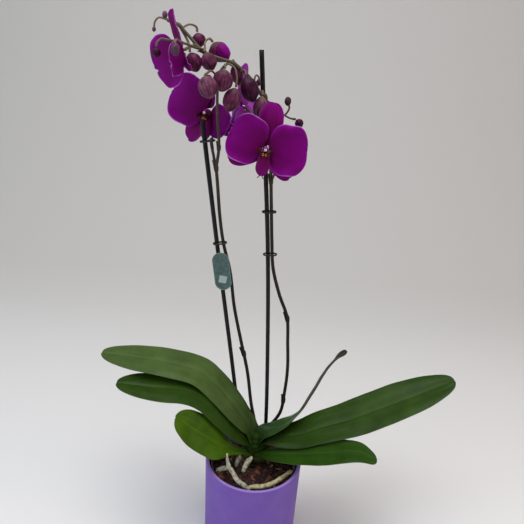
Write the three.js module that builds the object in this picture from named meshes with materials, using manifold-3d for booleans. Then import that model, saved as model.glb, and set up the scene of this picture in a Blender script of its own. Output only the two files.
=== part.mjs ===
// Potted moth orchid: a ceramic cover pot with a clear nursery pot of bark in it, six strap leaves,
// air roots, two flower stems tied to black stakes, four open flowers and a crowd of buds.
// Millimetres, +Z up. The origin is the centre of the pot's foot, and +X runs along the long leaf.
import * as THREE from 'three';
import { mergeVertices } from 'three/addons/utils/BufferGeometryUtils.js';
import Module from 'manifold-3d';

// Cover pot
const POT_HEIGHT = 130;
const POT_RIM_RADIUS = 65;
const POT_FOOT_RADIUS = 63;
const POT_WALL = 4.5;
const POT_FLOOR = 6;
const POT_SIDES = 36;

// Nursery pot and the bark in it
const NURSERY_RIM_RADIUS = 57.5;
const NURSERY_FOOT_RADIUS = 45;
const NURSERY_TOP = 122;
const NURSERY_WALL = 1.2;
const BARK_EDGE = 114;
const BARK_TOP = 121;

// Stakes and stems
const STAKE_RADIUS = 2.6;
const STEM_RADIUS = 2.3;
const ARCH_RADIUS = 1.5;
const PEDICEL_RADIUS = 1.1;
const GAP = 0.35;

// Leaves and flowers
const LEAF_THICKNESS = 2.4;
const PETAL_THICKNESS = 0.9;
const PETAL_LENGTH = 41;
const PETAL_WIDTH = 50;
const TOP_SEPAL_LENGTH = 47;
const TOP_SEPAL_WIDTH = 27;
const SIDE_SEPAL_LENGTH = 41;
const SIDE_SEPAL_WIDTH = 22;

const wasm = await Module();
wasm.setup();

const orchid = new THREE.Group();

function piece(name, geometry, colour, roughness, parent = orchid) {
  const material = new THREE.MeshStandardMaterial({ color: colour, roughness, metalness: 0 });
  const mesh = new THREE.Mesh(geometry, material);
  mesh.name = name;
  parent.add(mesh);
  return mesh;
}

const vector = (point) => new THREE.Vector3(...point);

// A round turned about the vertical axis
function turned(profile, sides) {
  const geometry = new THREE.LatheGeometry(profile.map(([r, z]) => new THREE.Vector2(r, z)), sides);
  geometry.rotateX(Math.PI / 2);
  return geometry;
}

// A tapering rod bent along a smooth curve through the points
function rod(points, startRadius, endRadius = startRadius, steps = 0, sides = 6) {
  const curve = new THREE.CatmullRomCurve3(points.map(vector));
  const rings = steps || Math.ceil(1.5 * (points.length - 1));
  const frames = curve.computeFrenetFrames(rings, false);
  const geometry = new THREE.CylinderGeometry(1, 1, 1, sides, rings);
  const position = geometry.attributes.position;
  for (let i = 0; i < position.count; i += 1) {
    const along = position.getY(i) + 0.5;
    const ring = Math.round(along * rings);
    const radius = THREE.MathUtils.lerp(startRadius, endRadius, along);
    const place = curve.getPointAt(along);
    place.addScaledVector(frames.binormals[ring], radius * position.getX(i));
    place.addScaledVector(frames.normals[ring], radius * position.getZ(i));
    position.setXYZ(i, place.x, place.y, place.z);
  }
  return geometry;
}

// A thin blade bent along a curve: a leaf, petal or sepal. The face is the way its upper side looks.
function blade({ path, face, width, outline, thickness, channel = 0, turn, across = 4, along = 10 }) {
  const curve = new THREE.CatmullRomCurve3(path.map(vector));
  const geometry = new THREE.BoxGeometry(1, 1, 1, across, along, 1);
  const position = geometry.attributes.position;
  for (let i = 0; i < position.count; i += 1) {
    const u = 2 * position.getX(i);
    const v = 0.5 - 0.5 * Math.cos(Math.PI * (position.getY(i) + 0.5));
    const half = 0.5 * width * outline(v);
    const tangent = curve.getTangentAt(v);
    const side = new THREE.Vector3().crossVectors(tangent, vector(face)).normalize();
    side.applyAxisAngle(tangent, THREE.MathUtils.degToRad(turn ? turn(v) : 0));
    const normal = new THREE.Vector3().crossVectors(side, tangent);
    const place = curve.getPointAt(v).addScaledVector(side, half * u);
    place.addScaledVector(normal, thickness * position.getZ(i) + channel * half * u * u);
    position.setXYZ(i, place.x, place.y, place.z);
  }
  return geometry;
}

// Share of the full width at v from base to tip: narrow, widest at the given point, then round
function rounded(v, widest, base, tip, power) {
  const r = v < widest ? (widest - v) / widest : (v - widest) / (1 - widest);
  const share = (1 - r ** power) ** (1 / power);
  return v < widest ? base + (1 - base) * share : tip + (1 - tip) * share;
}

function solid(geometry) {
  const bare = geometry.clone();
  bare.deleteAttribute('normal');
  bare.deleteAttribute('uv');
  const merged = mergeVertices(bare, 1e-4);
  const index = merged.index.array;
  const corners = [];
  for (let i = 0; i < index.length; i += 3) {
    const [a, b, c] = [index[i], index[i + 1], index[i + 2]];
    if (a !== b && b !== c && c !== a) {
      corners.push(a, b, c);
    }
  }
  const vertProperties = new Float32Array(merged.attributes.position.array);
  const triVerts = new Uint32Array(corners);
  return new wasm.Manifold(new wasm.Mesh({ numProp: 3, vertProperties, triVerts }));
}

function shape(manifold) {
  const mesh = manifold.getMesh();
  const geometry = new THREE.BufferGeometry();
  geometry.setAttribute('position', new THREE.BufferAttribute(mesh.vertProperties, 3));
  geometry.setIndex(new THREE.BufferAttribute(mesh.triVerts, 1));
  geometry.computeVertexNormals();
  return geometry;
}

function joined(geometries) {
  return shape(geometries.map(solid).reduce((sum, next) => sum.add(next)));
}

// Cover pot: straight sides with a slight taper, a thin rounded rim and a flat foot
const potInner = (z) => THREE.MathUtils.lerp(POT_FOOT_RADIUS, POT_RIM_RADIUS, z / POT_HEIGHT) - POT_WALL;
piece('cover_pot', turned([
  [0, 0],
  [POT_FOOT_RADIUS - 2, 0],
  [POT_FOOT_RADIUS, 2],
  [POT_RIM_RADIUS, POT_HEIGHT - 1.5],
  [POT_RIM_RADIUS - 0.5 * POT_WALL, POT_HEIGHT],
  [potInner(POT_HEIGHT) + 0.4, POT_HEIGHT - 1.5],
  [potInner(POT_FLOOR), POT_FLOOR],
  [0, POT_FLOOR],
], POT_SIDES), 0x6b52a0, 0.6);

// Clear nursery pot standing in it, open at the top
const nurseryFoot = POT_FLOOR + GAP;
piece('nursery_pot', turned([
  [0, nurseryFoot],
  [NURSERY_FOOT_RADIUS, nurseryFoot],
  [NURSERY_RIM_RADIUS, NURSERY_TOP],
  [NURSERY_RIM_RADIUS - NURSERY_WALL, NURSERY_TOP],
  [NURSERY_FOOT_RADIUS - NURSERY_WALL, nurseryFoot + NURSERY_WALL],
  [0, nurseryFoot + NURSERY_WALL],
], POT_SIDES), 0xb9b5a8, 0.3);

// Two slim stakes, slightly bowed by the weight they carry and pushed down through the bark
const STAKES = {
  stake_left: [[-11, 37, 50], [-28, 35, 190], [-61, 15, 429], [-80, 4, 571]],
  stake_right: [[16, 30, 40], [14, 27, 170], [8, 22, 299], [0, 18, 423], [-11, 14, 542], [-21, 12, 645]],
};
for (const [name, points] of Object.entries(STAKES)) {
  piece(name, rod(points, STAKE_RADIUS, STAKE_RADIUS, 8, 8), 0x0c0c0e, 0.45);
}

// Crown: the short stem that carries leaves, roots and flower stems
const CROWN = [[0, -2, 100], [0, -1, 130], [1, 1, 155], [2, 3, 168]];
piece('crown', rod(CROWN, 9, 5, 5, 8), 0x2a3a14, 0.6);

// Bark mix: a domed fill, with the crown and the stakes let into it
const barkFoot = nurseryFoot + NURSERY_WALL + GAP;
const clearance = NURSERY_WALL + 2 * GAP;
let bark = solid(turned([
  [0, barkFoot],
  [NURSERY_FOOT_RADIUS - clearance, barkFoot],
  [NURSERY_RIM_RADIUS - clearance - 1, BARK_EDGE],
  [0.7 * NURSERY_RIM_RADIUS, BARK_TOP - 2],
  [0, BARK_TOP],
], 24));
bark = bark.subtract(solid(rod(CROWN, 9.5, 5.5, 5, 8)));
for (const [[x, y, z], ...others] of Object.values(STAKES)) {
  bark = bark.subtract(solid(rod([[x, y, z - 1], ...others], STAKE_RADIUS + 0.5, STAKE_RADIUS + 0.5, 8, 8)));
}
piece('bark_mix', shape(bark), 0x5e2f24, 0.95);

// Leaves, in two ranks left and right of the crown: thick straps, each with its own bend
const LEAVES = {
  leaf_upper_left: {
    path: [[-7, 4, 173], [-22, 6, 195], [-42, 9, 220], [-61, 12, 240], [-78, 14, 252], [-118, 18, 259],
      [-163, 22, 261], [-209, 26, 262]],
    face: [0, -0.22, 1], width: 52, channel: -0.06, colour: 0x4b7030,
  },
  leaf_middle_left: {
    path: [[-10, -6, 159], [-24, -8, 176], [-45, -9, 202], [-66, -9, 225], [-91, -9, 236], [-133, -9, 237],
      [-181, -9, 240]],
    face: [0, -0.24, 1], width: 50, channel: 0.06, colour: 0x2a5a10,
  },
  leaf_lower_left: {
    path: [[-14, -13, 148], [-27, -21, 156], [-42, -29, 168], [-62, -38, 189], [-83, -45, 210],
      [-98, -51, 225]],
    face: [-0.15, -0.52, 0.84], width: 45, channel: 0.02, colour: 0x4f7a10,
  },
  leaf_young: {
    path: [[10, 3, 168], [22, 5, 173], [41, 12, 180], [60, 24, 191], [75, 36, 213], [97, 52, 249],
      [119, 63, 267]],
    face: [-0.85, 0.36, 0.37], width: 30, channel: 0.1, colour: 0x2f6a1a,
    turn: (v) => 80 * Math.max(0, 1 - v / 0.4),
  },
  leaf_long_right: {
    path: [[12, 3, 157], [59, 1, 170], [86, 3, 182], [122, 6, 195], [158, 10, 211], [194, 14, 228],
      [229, 18, 244], [257, 20, 258]],
    face: [0, -0.28, 1], width: 58, channel: 0.03, colour: 0x35602a,
  },
  leaf_lower_right: {
    path: [[13, -13, 146], [50, -21, 156], [85, -29, 168], [116, -36, 179], [136, -40, 182], [155, -43, 173]],
    face: [0, -0.06, 1], width: 44, channel: -0.02, colour: 0x2e5a12,
  },
};
const leafOutline = (v) => rounded(v, 0.6, 0.2, 0.05, v < 0.6 ? 1.8 : 2.2);
for (const [name, { colour, ...leaf }] of Object.entries(LEAVES)) {
  const geometry = blade({ ...leaf, outline: leafOutline, thickness: LEAF_THICKNESS, along: 12 });
  piece(name, geometry, colour, 0.45);
}

// Air roots over the bark and out of the crown
const ROOTS = {
  root_long: {
    path: [[-33, -44, 154.5], [-30, -45, 149], [-26, -46, 143], [-19, -50, 134], [-9, -53, 127]],
    radii: [1.4, 2.6],
  },
  root_side: { path: [[-38, -26, 129], [-42, -27, 127], [-47, -25, 123]], radii: [2.6, 2.8] },
  root_stub_left: { path: [[-14, -8, 137], [-18, -8, 132], [-22, -10, 126]], radii: [2.6, 2.2] },
  root_stub_front: { path: [[-4, -14, 139], [-8, -18, 133], [-13, -22, 127]], radii: [3.4, 2.6] },
  root_right: {
    path: [[-2, -50, 124], [14, -49, 124], [28, -42, 125], [40, -32, 126], [52, -22, 127]],
    radii: [2.6, 2.4],
  },
};
for (const [name, { path, radii }] of Object.entries(ROOTS)) {
  piece(name, rod(path, ...radii), 0xa8a490, 0.85);
}

// Each flower has its middle at a point, faces one way and rolls about that way. Its sepals and petals are
// given as angles round the middle and the angle by which they lean forward.
const FLOWERS = {
  flower_right: {
    at: [-10, -19, 549], facing: [0, -1, 0.05], roll: -7, lipSize: 1,
    sepals: [[90, 0, 1], [206, 0, 1], [320, 0, 1]], petals: [[163, 6, 1], [6, 6, 1.06]],
  },
  flower_left: {
    at: [-74.5, 23, 578.5], facing: [-0.5, -0.86, 0], roll: 0, lipSize: 1.05,
    sepals: [[102, -3, 0.82], [227, 2, 1.1], [328, 0, 0.9]], petals: [[153, 18, 1.15], [-30, 4, 0.75]],
  },
  flower_behind: {
    at: [-35, 29, 584], facing: [-0.9, 0.38, -0.1], roll: 0, lipSize: 0.9,
    sepals: [[90, 0, 1], [216, 0, 0.9], [322, 0, 0.9]], petals: [[172, 8, 0.9], [8, 0, 0.76]],
  },
  flower_top: {
    at: [-97, -24, 639], facing: [-0.8, -0.46, -0.34], roll: 0, lipSize: 0.5,
    sepals: [[96, -2, 0.8], [212, 0, 0.9], [298, 8, 0.5]],
    petals: [[200, 34, 1.04, 6.8], [-22, 76, 0.7, 9.4]],
  },
};

// Each bud hangs from a flower stem on its own stalk, from its foot to its tip
const BUDS = {
  bud_arch_top: {
    stalk: [[-101, -5, 660], [-94, 2, 664], [-88, 5, 662]],
    foot: [-87, 5, 657.5], tip: [-84, 5, 643], width: 13.5,
  },
  bud_pair_left: {
    stalk: [[-83, -9, 643], [-88, -12, 645], [-91, -16, 642]],
    foot: [-91, -18, 638], tip: [-83, -18, 620], width: 16,
  },
  bud_pair_right: {
    stalk: [[-79, -9, 640], [-78, -14, 642]],
    foot: [-76, -18, 639], tip: [-68, -20, 622], width: 15,
  },
  bud_half_open: {
    stalk: [[-77, -9, 640], [-78, 0, 649], [-74, 5, 652]],
    foot: [-71, 6, 649], tip: [-59, 6, 631], width: 20,
  },
  bud_behind: {
    stalk: [[-50, -6, 632], [-49, 0, 633]],
    foot: [-48, 1, 630], tip: [-42, 2, 609], width: 12,
  },
  bud_dark: {
    stalk: [[-41, -3, 623], [-36, -8, 624]],
    foot: [-35, -11, 619], tip: [-26, -13, 594], width: 18,
  },
  bud_node: {
    stalk: [[-18, 6, 600], [-17, -2, 605]],
    foot: [-17, -7, 601], tip: [-20, -9, 576], width: 14,
  },
  bud_tip_right: {
    stalk: [[7, 3, 582], [14, 2, 579]],
    foot: [20, 2, 578.5], tip: [27, 1, 571], width: 9,
  },
  bud_side_tip: {
    stalk: [[-114, -43, 648], [-118, -43, 644.5]],
    foot: [-118.5, -43, 640.5], tip: [-119, -44, 631], width: 8,
  },
  bud_front_left: {
    stalk: [[-62, -16, 615], [-68, -30, 622]],
    foot: [-73, -41, 618], tip: [-66, -46, 597], width: 18,
  },
  bud_front_middle: {
    stalk: [[-57, -17, 626], [-55, -22, 629]],
    foot: [-55, -26, 625], tip: [-58, -28, 603], width: 19,
  },
  bud_front_low: {
    stalk: [[-53, -17, 630], [-46, -19, 626], [-43, -23, 617]],
    foot: [-43.5, -24, 608], tip: [-51, -25, 584], width: 17,
  },
};

// Flower stems, each grown in one piece with its branches, joints, stalks and smallest buds
const STEMS = {
  spike_left: {
    rods: [
      [[[-1, 12, 162], [-2, 19, 173], [-8, 21, 200], [-16, 19, 253], [-27, 17, 301], [-37, 16, 347],
        [-44, 15, 394], [-53, 14, 429], [-58, 11, 461], [-62, 8, 503], [-64, 6, 522]], STEM_RADIUS, 1.9],
      [[[-64, 6, 518], [-67, 5, 534], [-70, 4.5, 547], [-70, 5, 553]], 1.8, 1.4],
      [[[-64, 6, 518], [-61, 1, 544], [-63, -10, 586], [-62, -16, 615], [-59, -17, 624],
        [-53, -17, 630]], 1.8, 1.3],
    ],
    joints: [[-22, 17.5, 279, 3], [-64, 6, 520, 2.7], [-61.5, 1, 543, 2.3]],
    stalks: [['flower_left', [-68, 5, 539], [-69, 13, 542], [-71, 23, 546], [-71, 31, 560]]],
    buds: ['bud_front_left', 'bud_front_middle', 'bud_front_low'],
    knobs: [],
  },
  spike_right: {
    rods: [
      [[[4, 12, 152], [13, 21, 157], [25, 28, 168], [33, 27, 186], [36, 25, 219], [37, 23, 256],
        [34, 21, 297], [30, 19, 335], [18, 18, 366], [8, 18, 400], [4, 17.5, 436], [1, 16, 472],
        [-2, 13, 509], [-5, 10, 543], [-9, 7.5, 575], [-14, 5.5, 598]], STEM_RADIUS, 1.9],
      [[[-13, 6, 594], [-18, 5, 600], [-29, 1, 615], [-48, -5, 630], [-63, -8, 634], [-78, -9, 639],
        [-96, -6, 655], [-105, -5, 663], [-116, -5, 666]], 1.8, ARCH_RADIUS],
      [[[-80, -9, 641], [-88, -18, 643], [-93, -30, 645], [-100, -38, 646.5], [-107, -42, 647],
        [-115, -43, 648]], 1.3, PEDICEL_RADIUS],
    ],
    joints: [[30, 19, 333, 3], [35, 26, 205, 3], [-2, 13, 508, 2.7], [-15, 5, 598, 2.5]],
    stalks: [
      ['flower_right', [-1, 13, 508], [2, 4, 524], [-3, -6, 540]],
      ['flower_behind', [-8, 8, 564], [-17, 6, 568], [-26, 14, 577]],
      ['flower_top', [-104, -5, 662], [-98, -4, 653], [-93, -10, 644]],
    ],
    buds: ['bud_arch_top', 'bud_pair_left', 'bud_pair_right', 'bud_half_open', 'bud_behind', 'bud_dark',
      'bud_node', 'bud_tip_right', 'bud_side_tip'],
    knobs: [
      [[[-16, 6, 597], [-1, 4, 589], [7, 3, 582], [12, 3, 589], [10, 4, 596]], 3.6],
      [[[-27, 1, 612], [-25, 4, 620], [-22, 5, 618], [-22, 5, 613]], 2.8],
      [[[-97, -35, 646], [-99, -46, 648], [-99, -54, 646], [-98.5, -56, 639]], 4.4],
      [[[-114, -5, 666], [-117, -5, 668], [-118, -5, 671]], 2.7],
      [[[-114, -5, 666], [-124, -5, 668], [-128, -5, 664], [-129, -5, 657]], 1.9],
    ],
  },
};
const forward = ({ facing }) => vector(facing).normalize();
const behind = (flower) => vector(flower.at).addScaledVector(forward(flower), -2.7).toArray();
for (const [name, { rods, joints, stalks, buds, knobs }] of Object.entries(STEMS)) {
  const parts = rods.map(([path, start, end]) => rod(path, start, end));
  parts.push(...joints.map(([x, y, z, radius]) => new THREE.SphereGeometry(radius, 6, 4).translate(x, y, z)));
  parts.push(...stalks.map(([flower, ...path]) => rod([...path, behind(FLOWERS[flower])], 1.4, 1.3, 4, 5)));
  for (const { stalk, foot } of buds.map((bud) => BUDS[bud])) {
    parts.push(rod([...stalk, foot], PEDICEL_RADIUS, PEDICEL_RADIUS, stalk.length + 1, 5));
  }
  for (const [path, radius] of knobs) {
    const [x, y, z] = path.at(-1);
    parts.push(rod(path, PEDICEL_RADIUS, PEDICEL_RADIUS, path.length + 1, 5));
    parts.push(new THREE.SphereGeometry(radius, 6, 5).scale(1, 1, 1.2).translate(x, y, z));
  }
  piece(name, joined(parts), 0x4a4434, 0.6);
}

// A slot outline with round ends, lying along X
function slot(half, radius, Outline = THREE.Shape) {
  const outline = new Outline();
  outline.absarc(half, 0, radius, -Math.PI / 2, Math.PI / 2);
  outline.absarc(-half, 0, radius, Math.PI / 2, 1.5 * Math.PI);
  return outline;
}

// Clips: small black loops, each round a stake and the stem beside it, as [x, y, z, lean]
const CLIPS = {
  clip_left_lower: [-57.4, 14.8, 428, 9],
  clip_left_upper: [-74, 5.3, 548, 9],
  clip_right_lower: [3, 17.5, 417, 3],
  clip_right_upper: [-1.6, 16, 470, 3],
};
for (const [name, [x, y, z, lean]] of Object.entries(CLIPS)) {
  const loop = slot(4, 4.6);
  loop.holes.push(slot(4, 3.5, THREE.Path));
  const clip = piece(name, new THREE.ExtrudeGeometry(loop, {
    depth: 2.2, bevelEnabled: false, curveSegments: 7,
  }), 0x101012, 0.5);
  clip.position.set(x, y, z);
  clip.rotation.y = THREE.MathUtils.degToRad(-lean);
}

// Plant tag: a thin rounded plate standing against the left stake
const tag = piece('plant_tag', new THREE.ExtrudeGeometry(slot(14, 10), {
  depth: 0.8, bevelEnabled: false, curveSegments: 7,
}), 0x4f6b68, 0.5);
tag.position.set(-53, 5, 397);
tag.rotation.set(Math.PI / 2, THREE.MathUtils.degToRad(-8.6), Math.PI / 2, 'YXZ');

// Flowers: three sepals behind, two broad petals in front of them, and a lip with its column
const sepalOutline = (v) => rounded(v, 0.5, 0.26, 0.12, 2.2);
const petalOutline = (v) => rounded(v, 0.56, 0.16, 0.2, 2.4);
const TOP_SEPAL = {
  length: TOP_SEPAL_LENGTH, width: TOP_SEPAL_WIDTH, outline: sepalOutline, lift: 0, curl: 2,
};
const SIDE_SEPAL = {
  length: SIDE_SEPAL_LENGTH, width: SIDE_SEPAL_WIDTH, outline: sepalOutline, lift: 0, curl: 2,
};
const BROAD_PETAL = {
  length: PETAL_LENGTH, width: PETAL_WIDTH, outline: petalOutline, lift: 2.6, curl: 2.5,
};

function petal(name, flower, colour, [angle, lean, size, claw = 3.5], form) {
  const { length, width, outline, lift, curl } = form;
  const reach = size * length - claw;
  const geometry = blade({
    path: [[0, 0, 0], [0, 0.35 * reach, 0.4 * curl], [0, 0.7 * reach, 0.3 * curl], [0, reach, -curl]],
    face: [0, 0, 1], width: size * width, outline, thickness: PETAL_THICKNESS, channel: 0.06, along: 6,
  });
  const [tilt, swing] = [lean, angle - 90].map(THREE.MathUtils.degToRad);
  const mesh = piece(name, geometry, colour, 0.6, flower);
  mesh.rotation.set(tilt, 0, swing, 'ZXY');
  mesh.position.set(-claw * Math.sin(swing), claw * Math.cos(swing), lift);
}

// Lip: the column, two raised side lobes and a narrow middle lobe that hangs forward
function lip(name, flower, size) {
  const column = rod([[0, 0, -1.5], [0, 0.5, 4], [0, -0.5, 9]], 2.1, 2.6, 3, 6);
  const middle = blade({
    path: [[0, -1, 4], [0, -8, 7.5], [0, -18, 9], [0, -27, 7]], face: [0, 0, 1], width: 13,
    outline: (v) => rounded(v, 0.4, 0.2, 0.3, 2), thickness: 1.4, across: 2, along: 5,
  });
  const lobes = [-1, 1].map((side) => blade({
    path: [[0, -1, 5.8], [3.5 * side, -3, 9], [6 * side, -1, 13]], face: [0, 0.35, 1], width: 8,
    outline: (v) => rounded(v, 0.6, 0.2, 0.3, 2), thickness: 1.2, across: 2, along: 3,
  }));
  piece(name, joined([column, middle, ...lobes]).scale(size, size, size), 0x6a0a3a, 0.55, flower);
}

for (const [name, { at, facing, roll, lipSize, sepals, petals }] of Object.entries(FLOWERS)) {
  const front = vector(facing).normalize();
  const right = new THREE.Vector3(0, 0, 1).cross(front).normalize();
  const up = new THREE.Vector3().crossVectors(front, right);
  const flower = new THREE.Group();
  flower.quaternion.setFromRotationMatrix(new THREE.Matrix4().makeBasis(right, up, front));
  flower.rotateZ(THREE.MathUtils.degToRad(roll));
  flower.position.set(...at);
  orchid.add(flower);
  petal(`${name}_sepal_top`, flower, 0x7c0d6c, sepals[0], TOP_SEPAL);
  petal(`${name}_sepal_left`, flower, 0x70105a, sepals[1], SIDE_SEPAL);
  petal(`${name}_sepal_right`, flower, 0x70105a, sepals[2], SIDE_SEPAL);
  petal(`${name}_petal_left`, flower, 0x7a0a7e, petals[0], BROAD_PETAL);
  petal(`${name}_petal_right`, flower, 0x7a0a7e, petals[1], BROAD_PETAL);
  lip(`${name}_lip`, flower, lipSize);
}

// Buds: each an egg with a blunt foot, just clear of its stalk's end
for (const [name, { foot, tip, width }] of Object.entries(BUDS)) {
  const axis = vector(tip).sub(vector(foot));
  const length = axis.length();
  const bud = piece(name, turned([
    [0, 2 * GAP],
    [0.16 * width, 0.05 * length + GAP],
    [0.42 * width, 0.25 * length],
    [0.5 * width, 0.52 * length],
    [0.36 * width, 0.82 * length],
    [0, length],
  ], 8), 0x7a4068, 0.6);
  bud.quaternion.setFromUnitVectors(new THREE.Vector3(0, 0, 1), axis.normalize());
  bud.position.set(...foot);
}

export default orchid;
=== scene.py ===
# Potted moth orchid: a matt violet cover pot, a clear nursery pot of bark chips, six strap leaves, air roots,
# and two flower stems tied to black stakes, with four open flowers and a crowd of buds.
import math
import random
from bisect import bisect_right
from itertools import accumulate

import bmesh
import bpy
from mathutils import Matrix, Vector, noise


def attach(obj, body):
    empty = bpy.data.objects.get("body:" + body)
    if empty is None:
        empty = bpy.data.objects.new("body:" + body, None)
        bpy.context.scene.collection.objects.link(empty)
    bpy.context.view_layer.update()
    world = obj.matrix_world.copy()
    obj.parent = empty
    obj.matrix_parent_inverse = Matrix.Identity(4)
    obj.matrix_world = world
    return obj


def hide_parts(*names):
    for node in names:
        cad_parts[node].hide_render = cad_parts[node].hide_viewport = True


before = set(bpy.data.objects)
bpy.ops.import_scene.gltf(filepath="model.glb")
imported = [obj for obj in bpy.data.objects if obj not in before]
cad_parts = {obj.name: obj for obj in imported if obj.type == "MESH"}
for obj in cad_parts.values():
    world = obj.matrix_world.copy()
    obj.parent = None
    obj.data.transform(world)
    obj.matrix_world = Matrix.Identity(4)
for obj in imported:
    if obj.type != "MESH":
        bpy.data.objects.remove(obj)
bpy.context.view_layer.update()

MM = 0.001

# ---------------------------------------------------------------------------------------------------------
# Cover pot: slip-cast ceramic with straight, slightly widening sides, sprayed with a matt violet coat that
# is lilac over the top of the rim. It is one wall, hollow down to a thick floor, with eased edges.
POT_HEIGHT = 130 * MM
POT_RIM_RADIUS = 65 * MM
POT_FOOT_RADIUS = 63 * MM
POT_WALL = 4.5 * MM
POT_FLOOR = 6 * MM


def linear(colour):
    """An sRGB hex colour as linear red, green, blue and alpha."""
    parts = [(colour >> shift & 255) / 255 for shift in (16, 8, 0)]
    return (*(p / 12.92 if p <= 0.04045 else ((p + 0.055) / 1.055) ** 2.4 for p in parts), 1.0)


def node(tree, kind, inputs=None, stops=None, **settings):
    """Add a node with its settings; inputs take values or other nodes' outputs, and stops fill a ramp."""
    added = tree.nodes.new(kind)
    for setting, value in settings.items():
        setattr(added, setting, value)
    for socket, value in (inputs or {}).items():
        if isinstance(value, bpy.types.NodeSocket):
            tree.links.new(value, added.inputs[socket])
        else:
            added.inputs[socket].default_value = value
    for index, (position, colour) in enumerate(stops or ()):
        elements = added.color_ramp.elements
        element = elements[index] if index < 2 else elements.new(position)
        element.position = position
        element.color = linear(colour)
    return added


def finish_of(name, roughness, sockets=None):
    """A new material with its shader: returns the material, its tree and the shader's inputs."""
    material = bpy.data.materials.new(name)
    material.use_nodes = True
    shader = material.node_tree.nodes["Principled BSDF"].inputs
    shader["Roughness"].default_value = roughness
    for socket, value in (sockets or {}).items():
        shader[socket].default_value = value
    return material, material.node_tree, shader


def pick_only(*pieces):
    """Leave edit mode and select just these pieces, the first of them active."""
    if bpy.context.object and bpy.context.object.mode == "EDIT":
        bpy.ops.object.mode_set(mode="OBJECT")
    bpy.ops.object.select_all(action="DESELECT")
    for piece in pieces:
        piece.select_set(True)
        bpy.context.view_layer.objects.active = piece


def pick_faces(piece, wanted):
    """In edit mode, select the faces that wanted says yes to."""
    mesh = bmesh.from_edit_mesh(piece.data)
    for face in mesh.faces:
        face.select_set(False)
    for face in mesh.faces:
        if wanted(face):
            face.select_set(True)
    bmesh.update_edit_mesh(piece.data)


def pick_edges(piece, wanted):
    """In edit mode, select the edges that wanted says yes to."""
    mesh = bmesh.from_edit_mesh(piece.data)
    for face in mesh.faces:
        face.select_set(False)
    for edge in mesh.edges:
        edge.select_set(bool(wanted(*(vertex.co for vertex in edge.verts))))
    bmesh.update_edit_mesh(piece.data)


def settle(piece):
    """Bake the object's place and turn into its mesh."""
    pick_only(piece)
    bpy.ops.object.transform_apply(location=True, rotation=True, scale=True)


def hand_over(piece, name, slot, material, *nodes):
    """Name a finished piece, give it its finish, hang it under the root body and hide the nodes it stands for.
    """
    piece.name = name
    piece.data.name = name
    if material:
        piece.data.materials.clear()
        piece.data.materials.append(material)
    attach(piece, "root")
    if nodes:
        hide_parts(*nodes)


pick_only()
bpy.ops.mesh.primitive_cylinder_add(vertices=128, radius=POT_FOOT_RADIUS, depth=POT_HEIGHT,
                                    location=(0, 0, POT_HEIGHT / 2))
pot = bpy.context.object
settle(pot)
bpy.ops.object.mode_set(mode="EDIT")
pick_faces(pot, lambda face: face.normal.z > 0.9)
widen = POT_RIM_RADIUS / POT_FOOT_RADIUS
bpy.ops.transform.resize(value=(widen, widen, 1))
bpy.ops.mesh.inset(thickness=POT_WALL)
bpy.ops.mesh.extrude_region_move(TRANSFORM_OT_translate={"value": (0, 0, POT_FLOOR - POT_HEIGHT)})
narrow = (POT_FOOT_RADIUS - POT_WALL) / (POT_RIM_RADIUS - POT_WALL)
bpy.ops.transform.resize(value=(narrow, narrow, 1))
pick_edges(pot, lambda a, b: min(a.z, b.z) > POT_HEIGHT - 1 * MM)
bpy.ops.mesh.bevel(offset=1.9 * MM, segments=5, affect="EDGES")
pick_edges(pot, lambda a, b: max(a.z, b.z) < 0.1 * MM)
bpy.ops.mesh.bevel(offset=1.8 * MM, segments=4, affect="EDGES")
pick_edges(pot, lambda a, b: abs(a.z - POT_FLOOR) < 0.1 * MM and abs(b.z - POT_FLOOR) < 0.1 * MM)
bpy.ops.mesh.bevel(offset=5 * MM, segments=4, affect="EDGES")
bpy.ops.object.mode_set(mode="OBJECT")
bpy.ops.object.shade_smooth_by_angle(angle=math.radians(40))

# Matt sprayed coat on ceramic: an even violet, a trace of orange peel, cloudy by a few per cent, and paler
# lilac over the top millimetre of the rim
pot_coat, tree, shader = finish_of("matt_sprayed_ceramic", 0.55, {"Specular IOR Level": 0.4})
place = node(tree, "ShaderNodeTexCoord").outputs["Object"]
cloud = node(tree, "ShaderNodeTexNoise", {"Vector": place, "Scale": 28.0, "Detail": 4.0})
violet = node(tree, "ShaderNodeValToRGB", {"Fac": cloud.outputs["Fac"]},
              stops=[(0.35, 0x6D4CA8), (0.65, 0x7654B0)])
height = node(tree, "ShaderNodeSeparateXYZ", {"Vector": place}).outputs["Z"]
rim = node(tree, "ShaderNodeMapRange", {
    "Value": height, "From Min": POT_HEIGHT - 1.0 * MM, "From Max": POT_HEIGHT - 0.2 * MM, "To Max": 0.7})
edge = node(tree, "ShaderNodeMixRGB", {
    "Fac": rim.outputs["Result"], "Color1": violet.outputs["Color"], "Color2": linear(0xA98AD0)})
tree.links.new(edge.outputs["Color"], shader["Base Color"])
peel = node(tree, "ShaderNodeTexNoise", {"Vector": place, "Scale": 900.0, "Detail": 2.0})
bump = node(tree, "ShaderNodeBump", {"Height": peel.outputs["Fac"], "Strength": 0.12, "Distance": 0.3 * MM})
tree.links.new(bump.outputs["Normal"], shader["Normal"])
hand_over(pot, "cover_pot_body", "cover_pot", pot_coat, "cover_pot")

# ---------------------------------------------------------------------------------------------------------
# Nursery pot: thin clear polypropylene, thermoformed with an eased rim and shallow ribs down the inside of
# its wall. It only stands in the cover pot, and just its rim and the upper wall are seen.
NURSERY_RIM_RADIUS = 57.5 * MM
NURSERY_FOOT_RADIUS = 45 * MM
NURSERY_FOOT = 6.35 * MM
NURSERY_TOP = 122 * MM
NURSERY_WALL = 1.2 * MM
NURSERY_SIDES = 120
RIB_EVERY = 6

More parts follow.
